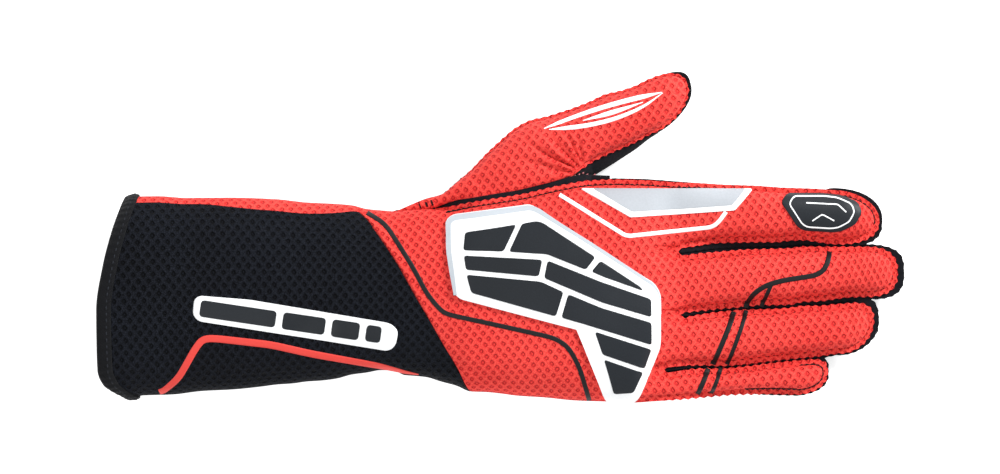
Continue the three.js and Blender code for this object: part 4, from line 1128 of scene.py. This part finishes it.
def dimpled_cloth(name, base, light, ring, pale, ring_shade_weight, crest_highlight_weight, grain, deep, cell, turn):
    """Knitted mesh cloth with ring dimples on a lattice of the given cell and turn. The ring colour is painted shade in
    the dimples' grooves; by the grain weight it also darkens the knit's low spots, as grain and painted shade; the pale
    colour is a painted highlight on the crests between dimples.
    """
    finish, tree, shader = new_finish(name)
    set_shader(shader, 0.85, 0.02, 0.4, 0.0, 0.08)
    knit = place_group(tree, DIMPLES, source(tree, "cloth"))
    knit.inputs["Cell"].default_value = (cell[0], cell[1], 1.0)
    knit.inputs["Turn"].default_value = math.radians(turn)
    wear = place_group(tree, UNEVEN, source(tree, "object"))
    plain = blend_colour(tree, wear.outputs["Slow"], colour(base), colour(light))
    # Crests between the dimples, where the knit is high, lightened towards the pale colour: a painted highlight
    crest_highlight_mask = math_node(tree, "MULTIPLY", knit.outputs["Crest"], ramp(tree, knit.outputs["Knit"], 0.4, 0.62))
    plain = blend_colour(tree, math_node(tree, "MULTIPLY", crest_highlight_mask, crest_highlight_weight), plain, colour(pale))
    # Where the knit noise is low, and the bump with it, the colour darkens towards the ring colour by the grain weight:
    # grain and painted shade in the knit's hollows
    grain_and_knit_shade = blend_colour(tree, ramp(tree, knit.outputs["Knit"], 0.6, 0.38, 0.0, grain), plain, colour(ring))
    # Dimple rings darkened towards the ring colour: painted shade in the grooves, where the bump dips too
    ring_shade = math_node(tree, "MULTIPLY", knit.outputs["Ring"], ring_shade_weight)
    tree.links.new(blend_colour(tree, ring_shade, grain_and_knit_shade, colour(ring)), shader.inputs["Base Color"])
    height = math_node(tree, "MULTIPLY_ADD", knit.outputs["Pit"], -1.0,
                       math_node(tree, "MULTIPLY", knit.outputs["Knit"], 0.5))
    height = math_node(tree, "MULTIPLY_ADD", knit.outputs["Ring"], -0.4, height)
    bump(tree, shader, height, 1.0, deep)
    return finish


def suede(name, base, light, scale=900.0, rough=0.95):
    finish, tree, shader = new_finish(name)
    set_shader(shader, rough, 0.04, 0.6, 0.0, 0.1)
    place = source(tree, "object")
    nap = noise(tree, place, scale, 3.0)
    slow = noise(tree, place, 45.0, 3.0)
    shade = math_node(tree, "MULTIPLY_ADD", ramp(tree, nap, 0.3, 0.7), 0.6,
                      math_node(tree, "MULTIPLY", ramp(tree, slow, 0.35, 0.65), 0.4))
    tree.links.new(blend_colour(tree, shade, colour(base), colour(light)), shader.inputs["Base Color"])
    bump(tree, shader, nap, 0.6, 0.00025)
    return finish


def printed(name, base, light, rough, coat, grain=1400.0, depth=0.00006, tiny=0.35):
    """Smooth film or print: faint grain in colour, gloss and relief."""
    finish, tree, shader = new_finish(name)
    set_shader(shader, rough, 0.0, 0.5, coat, 0.3)
    place = source(tree, "object")
    fine = noise(tree, place, grain, 2.0)
    slow = noise(tree, place, 20.0, 2.0)
    shade = math_node(tree, "MULTIPLY_ADD", ramp(tree, fine, 0.35, 0.65), tiny,
                      math_node(tree, "MULTIPLY", ramp(tree, slow, 0.3, 0.7), 1 - tiny))
    tree.links.new(blend_colour(tree, shade, colour(base), colour(light)), shader.inputs["Base Color"])
    tree.links.new(math_node(tree, "MULTIPLY_ADD", slow, 0.12, rough - 0.06), shader.inputs["Roughness"])
    bump(tree, shader, fine, 0.5, depth)
    return finish


def ribbed_tape(name, base, light):
    """Woven binding tape: fine ribs across it, by a wave on the piece's own map."""
    finish, tree, shader = new_finish(name)
    set_shader(shader, 0.85, 0.05, 0.5, 0.0, 0.15)
    place = source(tree, "cloth")
    wave = tree.nodes.new("ShaderNodeTexWave")
    wave.bands_direction = "X"
    wave.inputs["Scale"].default_value = 0.55
    wave.inputs["Distortion"].default_value = 0.6
    tree.links.new(place, wave.inputs["Vector"])
    grain = noise(tree, source(tree, "object"), 700.0, 3.0)
    height = math_node(tree, "MULTIPLY_ADD", wave.outputs["Fac"], 0.6, math_node(tree, "MULTIPLY", grain, 0.5))
    tree.links.new(blend_colour(tree, ramp(tree, height, 0.2, 0.9), colour(base), colour(light)),
                   shader.inputs["Base Color"])
    bump(tree, shader, height, 0.7, 0.0003)
    return finish


# Third and fourth colours of each cloth: the ring colour is painted shade in the dimple grooves and knit hollows, the
# pale colour a painted highlight on the crests
RED = dimpled_cloth("red mesh cloth", "E63D37", "F0463F", "A81620", "FF7A6C", 0.6, 0.3, 0.25, 0.00045, (3.63, 5.28), -7.0)
BLACK = dimpled_cloth("black mesh cloth", "0F1117", "14171E", "030304", "282B33", 0.75, 0.5, 0.55, 0.00055, (4.0, 5.2), -2.0)
SUEDE_BLACK = suede("black suede", "0B0C10", "16171D")
LINING = suede("black side cloth", "0D0E12", "17181E", 600.0)
TAPE = ribbed_tape("black binding tape", "090A0C", "131418")
THREAD_BLACK = suede("black thread", "060709", "101217", 2500.0, 0.8)
THREAD_PALE = suede("grey thread", "1D1F24", "2A2D34", 2500.0, 0.7)
THREAD_PINK = suede("pink thread", "DD7F84", "EFA3A5", 2500.0, 0.7)
THREAD_RED = suede("dark red thread", "4E0A0F", "6A1319", 2500.0, 0.8)
WHITE = printed("white print", "EEF0F2", "F8FAFB", 0.5, 0.0)
PALE = printed("pale grey band", "B4BBC3", "BCC3C9", 0.7, 0.0)
SILVER = printed("silver film", "A0A5AB", "ABB0B6", 0.7, 0.0)
DARK = printed("dark moulded film", "15191E", "1B2026", 0.5, 0.0, 1800.0, 0.00012)
DARK_LINE = printed("dark printed line", "0B0C0E", "101214", 0.6, 0.0)
RED_LINE = printed("red printed line", "DA3F37", "E2473F", 0.6, 0.0)

# ---------------------------------------------------------------- the glove's pieces
surface("glove_hand_back", hand_grids(True, 26), RED, ("hand_back",), CLOTH, turned=True)
surface("glove_palm", hand_grids(False, 20), SUEDE_BLACK, ("palm",), SUEDE)

thumb_grid, thumb_place, thumb_edges = thumb_back_grid()
surface("glove_thumb_back", [(thumb_grid, thumb_place)], RED, ("thumb_back",), CLOTH, turned=True)
THUMB_SHEET = sheet_of(thumb_height, -2.0, 122.0, 25.0, 92.0, 0.4)
palm_grid, palm_place = thumb_palm_grid(thumb_edges)
surface("glove_thumb_palm", [(palm_grid, palm_place)], SUEDE_BLACK, ("thumb_palm",), SUEDE)

surface("gauntlet_back_panel",
        [gauntlet_grid(strip_angle, lambda x: 180.0 + 0 * x, 140, 96, 0.3)],
        BLACK, ("gauntlet_back",), CLOTH, turned=True)
surface("gauntlet_side_strip",
        [gauntlet_grid(lambda x: STRIP_FOOT + 0 * x, lambda x: strip_angle(x) + 0.4, 140, 26, 0.0)],
        RED, ("gauntlet_side",), CLOTH, turned=True)
surface("gauntlet_palm_panel",
        [gauntlet_grid(lambda x: 180.0 + 0 * x, lambda x: 360.0 + STRIP_FOOT + 0 * x, 100, 70, 0.0)],
        LINING, ("gauntlet_palm",), CLOTH, turned=True)


def welt_grid():
    """Black welt between thumb and hand: a flattened tube along the hand's edge."""
    x = np.arange(13.8, 86.5, 0.8)
    y = curve(THUMB_SIDE, x) + 0.9
    z = back_rim(x) - 0.9
    z = mix(z, back_rim(np.full_like(x, 70.0)) - 0.9, 0)
    thin = ease(10, 18, x) * (1 - 0.6 * ease(72, 86, x))
    angle = np.linspace(0, 2 * np.pi, 17)
    ring_y = np.cos(angle)[None] * (1.9 * thin)[:, None]
    ring_z = np.sin(angle)[None] * (0.9 * thin)[:, None]
    z = np.where(x > 74, np.maximum(z, 10.6), z)
    points = np.stack([np.repeat(x[:, None], 17, 1), y[:, None] + ring_y, z[:, None] + ring_z], axis=2)
    first, last = points[:1].mean(axis=1, keepdims=True), points[-1:].mean(axis=1, keepdims=True)
    points = np.concatenate([np.repeat(first, 17, 1), points, np.repeat(last, 17, 1)], axis=0)
    return points, points[..., :2]


surface("thumb_seam_welt", [welt_grid()], LINING, ("thumb_welt",), turned=True)


def tape_grid():
    """Binding tape: a folded profile carried round the cuff's mouth, each point set out from the sleeve."""
    degrees = np.linspace(0, 360, 361)
    profile = np.array([
        (5.0, 0.05), (4.9, 0.66), (4.3, 1.0), (2.6, 1.16), (0.8, 1.1), (-0.4, 0.8), (-0.95, 0.1),
        (-1.05, -0.7), (-0.9, -1.5), (-0.2, -2.05), (2.4, -2.2), (4.6, -2.1), (5.0, -1.6), (5.0, 0.05)])
    x = mouth_edge(degrees)[:, None] + profile[None, :, 0]
    d = np.broadcast_to(degrees[:, None], x.shape)
    along = sleeve(x + 0.4, d) - sleeve(x - 0.4, d)
    around = sleeve(x, d + 0.6) - sleeve(x, d - 0.6)
    normal = np.cross(around, along)
    normal /= np.linalg.norm(normal, axis=2, keepdims=True)
    pucker = 0.1 * np.sin(np.radians(degrees) * 61)[:, None]
    points = sleeve(x, d) + normal * (profile[None, :, 1] + pucker * (profile[None, :, 1] > 0.5))[..., None]
    points[..., 2] = np.maximum(points[..., 2], 0.02)
    walked = row_lengths(points.transpose(1, 0, 2)).T
    return points, np.stack([walked, np.broadcast_to(profile[None, :, 0], walked.shape)], axis=2)


surface("cuff_binding", [tape_grid()], TAPE, ("cuff_tape",), turned=True)

# Knuckle guard: a pale outer band, a white face and dark bars in it
GUARD_OUTLINE = drawn([
    (451, 214.3), (529, 203.6), (536, 207), (653, 282), (659, 293), (659, 346), (639, 395), (634, 401),
    (607, 401), (602, 394), (583, 330), (459, 297.5), (452.5, 291), (444.3, 220)])
GUARD_BAND = drawn([(455, 293.5), (448.4, 250), (448, 222), (453, 218), (529.5, 207.5), (537, 210.2), (600, 250),
                    (650.5, 283), (656, 291), (657.6, 300)])
GUARD_BARS = [
    [(464.5, 232), (515.5, 224), (502.5, 250.5), (462.8, 249.5)],
    [(521, 223.2), (535, 220.6), (541.5, 222), (593.5, 256), (584, 268.5), (546, 253.2), (508, 250.8)],
    [(598.5, 259.5), (638, 285.2), (641.5, 289.5), (602.5, 275.8), (589.5, 270.3)],
    [(463.2, 254.5), (541, 258.6), (537.5, 275), (465.2, 268.5)],
    [(546.3, 259.3), (598.5, 280.2), (649, 297.8), (649, 315.5), (600.5, 301), (542.7, 276.5)],
    [(465.8, 273.3), (539.5, 280.2), (562, 290.5), (554.5, 314.5), (470.5, 291.2)],
    [(566.5, 292.5), (599.5, 306.2), (649, 321), (649, 343), (583.5, 322.5), (559.8, 315.6)],
    [(592.8, 329.4), (648.8, 347.5), (641.8, 366.5), (600.6, 352.3)],
    [(602, 357), (640.4, 370.6), (632, 390.4), (612.5, 391.4)],
]
film("knuckle_guard", GUARD_OUTLINE, 2.2, 1.0, 0.0, WHITE, ("knuckle_patch",),
     place=stiff, skirt=1.6)
for number, corners in enumerate(GUARD_BARS, 1):
    film(f"knuckle_bar_{number}", drawn(corners), 1.1, 0.22, 1.0, DARK, place=stiff,
         bevel=0.3)

# The band along the guard's thumb side lies on its white face
GUARD_BAND_WIDTH = [(0.0, 1.5), (0.1, 2.3), (0.3, 2.5), (0.5, 2.3), (0.6, 1.7), (0.9, 1.5), (1.0, 0.5)]

# Index finger: silver panel with its white edge, a white line, and the dark fingertip film
film("index_panel_edge", drawn([(579, 187.6), (753.5, 187.6), (734.5, 209.2), (629, 216.4)]), 0.6, 0.45, 0.0,
     WHITE, ("index_panel",), bevel=0.3)
film("index_panel_face", drawn([(591.5, 187.9), (746.5, 187.9), (731.3, 204.2), (630.5, 211)]), 0.5, 0.2, 0.4,
     SILVER, bevel=0.25)
TIP_FILM = drawn([(787, 192), (824, 192), (842, 194), (858.5, 201), (862.6, 210.5), (856, 223), (842, 230),
                  (833, 231), (803, 229), (796.5, 225), (786, 209), (780.5, 201)])
film("fingertip_film", TIP_FILM, 1.6, 0.5, 0.0, DARK, ("fingertip_patch",), bevel=0.35)


def lines(name, runs, finish, place=bridged, lift=0.16, round_to=2.0):
    """Printed lines of one colour as one piece."""
    grids = []
    for path, width in runs:
        over, flat = ribbon(path, width, place, lift, round_to=round_to)
        under = lifted(place, flat[..., 0], flat[..., 1], np.full(flat.shape[:2], -0.12))
        under[:, 0], under[:, -1] = over[:, 0], over[:, -1]
        under[0], under[-1] = over[0], over[-1]
        grids += [(over, flat), (under[:, ::-1], flat[:, ::-1])]
    return surface(name, grids, finish, sharp=70)


def scaled_loop(corners, share):
    """Outline drawn in towards its middle by a share, closed."""
    loop = rounded(corners, 1.6)
    loop = mix(loop.mean(axis=0), loop, share)
    return np.vstack([loop, loop[:1]])


lines("knuckle_guard_band", [(GUARD_BAND, GUARD_BAND_WIDTH)], PALE, stiff, 1.06, 1.6)
lines("index_white_line", [(drawn([(558.5, 193.5), (625, 235), (711, 226), (717.5, 221.5), (725.5, 210.5)]), 1.75)],
      WHITE)
lines("fingertip_keyline", [(scaled_loop(TIP_FILM, 0.8), 0.6), (drawn([(806, 202), (838, 203.5), (846, 211)]), 0.6),
                            (drawn([(812, 219.5), (822, 213), (834, 219.5)]), 0.6)],
      WHITE, lift=0.62, round_to=0.8)
lines("wrist_line", [(drawn([(366, 211.5), (384, 222), (398, 243), (413, 267), (425, 290), (435, 303), (444, 312),
                             (504, 325), (553, 336), (567, 345), (578, 365), (588.5, 399.5)]), 2.0)],
      DARK_LINE, round_to=4.0)
lines("middle_finger_lines", [
    (drawn([(830.5, 250.5), (827, 263), (822.5, 270), (815, 274.3), (782, 279.4), (766, 284), (754, 292),
            (748.5, 300), (746.3, 307)]), 2.2),
    (drawn([(770.5, 284), (762, 306)]), 1.8)], DARK_LINE, round_to=3.0)
lines("ring_finger_lines", [(drawn([(734.5, 311), (713, 364)]), 2.2), (drawn([(747, 309.5), (727.5, 364)]), 1.8)],
      DARK_LINE)
lines("little_finger_lines", [(drawn([(708.5, 368), (697.5, 393.5)]), 2.2),
                              (drawn([(721.5, 367), (711.5, 393)]), 1.8)], DARK_LINE)
lines("gauntlet_red_line", [(drawn([(158, 391), (163, 389.5), (178, 377), (187, 362), (195, 348), (203, 337.5),
                                    (214, 336.5), (271, 343), (310, 352), (378.5, 364.8), (400, 370.2), (417.5, 373.4)]),
                             [(0, 2.4), (0.1, 2.9), (0.5, 3.1), (0.83, 2.7), (0.92, 1.9), (1, 0.5)])],
      RED_LINE, round_to=4.0)

# Thumb: a plain white leaf outline with a slim bar in it, and the short bar tack at the wrist
lines("thumb_print", [
    (drawn([(543, 127.5), (568, 117.5), (598, 107), (630, 98), (661, 91)]), [(0, 0.3), (0.15, 1.5), (0.8, 2.1), (1, 0.4)]),
    (drawn([(548, 128.5), (584, 125), (614, 118), (642, 106), (662, 91.5)]), [(0, 0.3), (0.2, 1.9), (0.7, 1.5), (1, 0.3)]),
    (drawn([(582, 119.5), (614, 110.5), (642, 101)]), [(0, 0.3), (0.45, 2.0), (1, 0.3)])],
      WHITE, on_thumb, 0.2, 6.0)
lines("wrist_bar_tack", [
    (drawn([(417.5, 200.5), (419.5, 206.5)]), 0.6), (drawn([(423.5, 198.5), (427.5, 208)]), 0.9),
    (drawn([(429.5, 197.5), (433, 207.5)]), 0.9)], THREAD_BLACK, on_thumb, 0.3)

# Gauntlet badge: a white bar with plain dark dashes
film("gauntlet_badge", drawn([(200, 294), (250, 298), (390, 321.5), (398, 329), (395, 344), (388, 349.5),
                              (330, 340), (199, 319.5), (193.5, 313), (195, 298)]),
     2.6, 0.3, 0.0, WHITE, bevel=0.3)


def dash(a, b, tall):
    """Corners of a slanted dash between two places of the badge's middle line, where 0 is its left end."""
    left, right = np.array([201.0, 306.5]), np.array([389.0, 334.5])
    up = np.array([0.15, -1.0])
    p, q = mix(left, right, a), mix(left, right, b)
    return [p + up * tall, q + up * tall, q - up * tall, p - up * tall]


for number, (a, b, tall) in enumerate([(0.0, 0.40, 8.2), (0.435, 0.66, 8.4), (0.695, 0.84, 8.6),
                                       (0.875, 0.955, 8.2)], 1):
    film(f"badge_dash_{number}", drawn(dash(a, b, tall)), 1.6, 0.14, 0.28, DARK, bevel=0.2)

# ---------------------------------------------------------------- stitches
hand_rows = []
for i in range(4):
    x_round = (TIPS[i]["round"][0] - 395) * 0.4
    start = 22.0 if i == 0 else SPREAD_X + 6
    xs = np.arange(start, x_round, 1.0)
    hand_rows.append((i, xs))


def seam_run(i, which, start, end, inset):
    """Path inside one edge of a finger's strip, on the back."""
    xs = np.arange(start, end, 1.0)
    y = slit_edge(i, xs, which) + (-inset if which == "upper" else inset)
    return run_on(on_back, np.column_stack([xs, y]))


def tip_run(i, inset, low=-np.pi / 2, high=np.pi / 2):
    """Path round a fingertip, inside its edge, between two angles from its middle line."""
    tip = TIPS[i]
    x_round, x_end = (tip["round"][0] - 395) * 0.4, (tip["end"] - 395) * 0.4
    turn = np.linspace(low, high, 40)
    px = x_round + (x_end - inset - x_round) * np.abs(np.cos(turn)) ** (2 / tip["power"])
    middle, half, _ = finger_plan(i, px)
    return run_on(on_back, np.column_stack([px, middle + (half - inset) * signed_power(np.sin(turn), 2 / tip["power"])]))


outer_index_end = (TIPS[0]["round"][0] - 395) * 0.4
outer_little_end = (TIPS[3]["round"][0] - 395) * 0.4
thread("outer_seam_stitches",
       [seam_run(0, "upper", 20.0, 144.0, FLANGE), tip_run(0, FLANGE, -0.15, 1.4),
        seam_run(3, "lower", 140.0, outer_little_end, FLANGE + 0.3), tip_run(3, FLANGE)],
       2.1, 2.7, 1.0, THREAD_BLACK, lift=0.34)
thread("finger_seam_stitches",
       [seam_run(0, "lower", 117.0, outer_index_end, FLANGE), seam_run(1, "upper", 117.0, 186.0, FLANGE),
        seam_run(1, "lower", 118.0, 186.0, FLANGE), seam_run(2, "upper", 118.0, 178.0, FLANGE),
        seam_run(2, "lower", 113.0, 178.0, FLANGE), seam_run(3, "upper", 113.0, 160.0, FLANGE),
        tip_run(1, FLANGE), tip_run(2, FLANGE)],
       3.2, 1.3, 0.62, THREAD_RED, 0.16)


def edge_run(line, z, up=(0.0, 0.0, 1.0)):
    points = np.column_stack([line, z])
    return points, np.tile(np.array(up), (len(points), 1))


o, n, f_out, f_in, z_out, z_in, b, nose = thumb_edges
thread("crotch_stitches",
       [edge_run(palm_grid[first:last, column, :2], palm_grid[first:last, column, 2], (0.5, -0.6, 0.6))
        for first, last, column in ((96, 108, -4), (98, 112, -6), (102, 116, -8))],
       1.9, 1.1, 0.7, THREAD_PINK, 0.3)
thread("thumb_seam_stitches", [edge_run(f_out[30:], z_out[30:])], 2.4, 1.3, 0.42, THREAD_RED)
degrees = np.linspace(-15, 195, 240)
tape_line = mouth_edge(degrees) + 3.2
tape_at = sleeve(tape_line, degrees)
tape_out = np.cross(sleeve(tape_line, degrees + 0.6) - sleeve(tape_line, degrees - 0.6),
                    sleeve(tape_line + 0.6, degrees) - sleeve(tape_line - 0.6, degrees))
tape_out /= np.linalg.norm(tape_out, axis=1, keepdims=True)
thread("cuff_stitches", [(tape_at + tape_out * 1.08, tape_out)], 2.6, 1.7, 0.55, THREAD_PALE, lift=0.16)

# ---------------------------------------------------------------- floor, light and camera
FLOOR_FINISH, floor_tree, floor_shader = new_finish("pale floor")
floor_shader.inputs["Roughness"].default_value = 0.9
floor_shader.inputs["Emission Color"].default_value = (1, 1, 1, 1)
floor_shader.inputs["Emission Strength"].default_value = 0.6
floor_grain = noise(floor_tree, source(floor_tree, "object"), 3.0, 2.0)
floor_tree.links.new(blend_colour(floor_tree, ramp(floor_tree, floor_grain, 0.3, 0.7), (0.93, 0.93, 0.935, 1), (0.95, 0.95, 0.95, 1)),
                     floor_shader.inputs["Base Color"])
floor_mesh = bpy.data.meshes.new("floor")
floor_mesh.from_pydata([(-6, -6, -0.0003), (6, -6, -0.0003), (6, 6, -0.0003), (-6, 6, -0.0003)], [], [(0, 1, 2, 3)])
floor = bpy.data.objects.new("floor", floor_mesh)
floor_mesh.materials.append(FLOOR_FINISH)
bpy.context.scene.collection.objects.link(floor)

world = bpy.data.worlds.new("studio")
bpy.context.scene.world = world
world.use_nodes = True
world.node_tree.nodes["Background"].inputs["Color"].default_value = (1.0, 1.0, 1.0, 1)
world.node_tree.nodes["Background"].inputs["Strength"].default_value = 0.61


def soft_light(name, place, aim, size, power):
    data = bpy.data.lights.new(name, "AREA")
    data.shape = "SQUARE"
    data.size = size
    data.energy = power
    lamp = bpy.data.objects.new(name, data)
    bpy.context.scene.collection.objects.link(lamp)
    lamp.location = place
    from mathutils import Vector
    lamp.rotation_euler = (Vector(aim) - Vector(place)).to_track_quat("-Z", "Y").to_euler()


soft_light("softbox_right", (0.95, 0.75, 0.66), (0, 0, 0), 0.3, 23.0)
soft_light("softbox_left", (-0.8, -0.5, 1.3), (0, 0, 0), 0.9, 9.0)

camera_data = bpy.data.cameras.new("camera")
camera_data.sensor_width = 36.0
camera_data.lens = 135.0
camera = bpy.data.objects.new("camera", camera_data)
bpy.context.scene.collection.objects.link(camera)
camera.location = (-0.0004, -0.00025, 1.518)
camera.rotation_euler = (0.0, 0.0, 0.0)
bpy.context.scene.camera = camera
bpy.context.scene.view_settings.view_transform = "Standard"
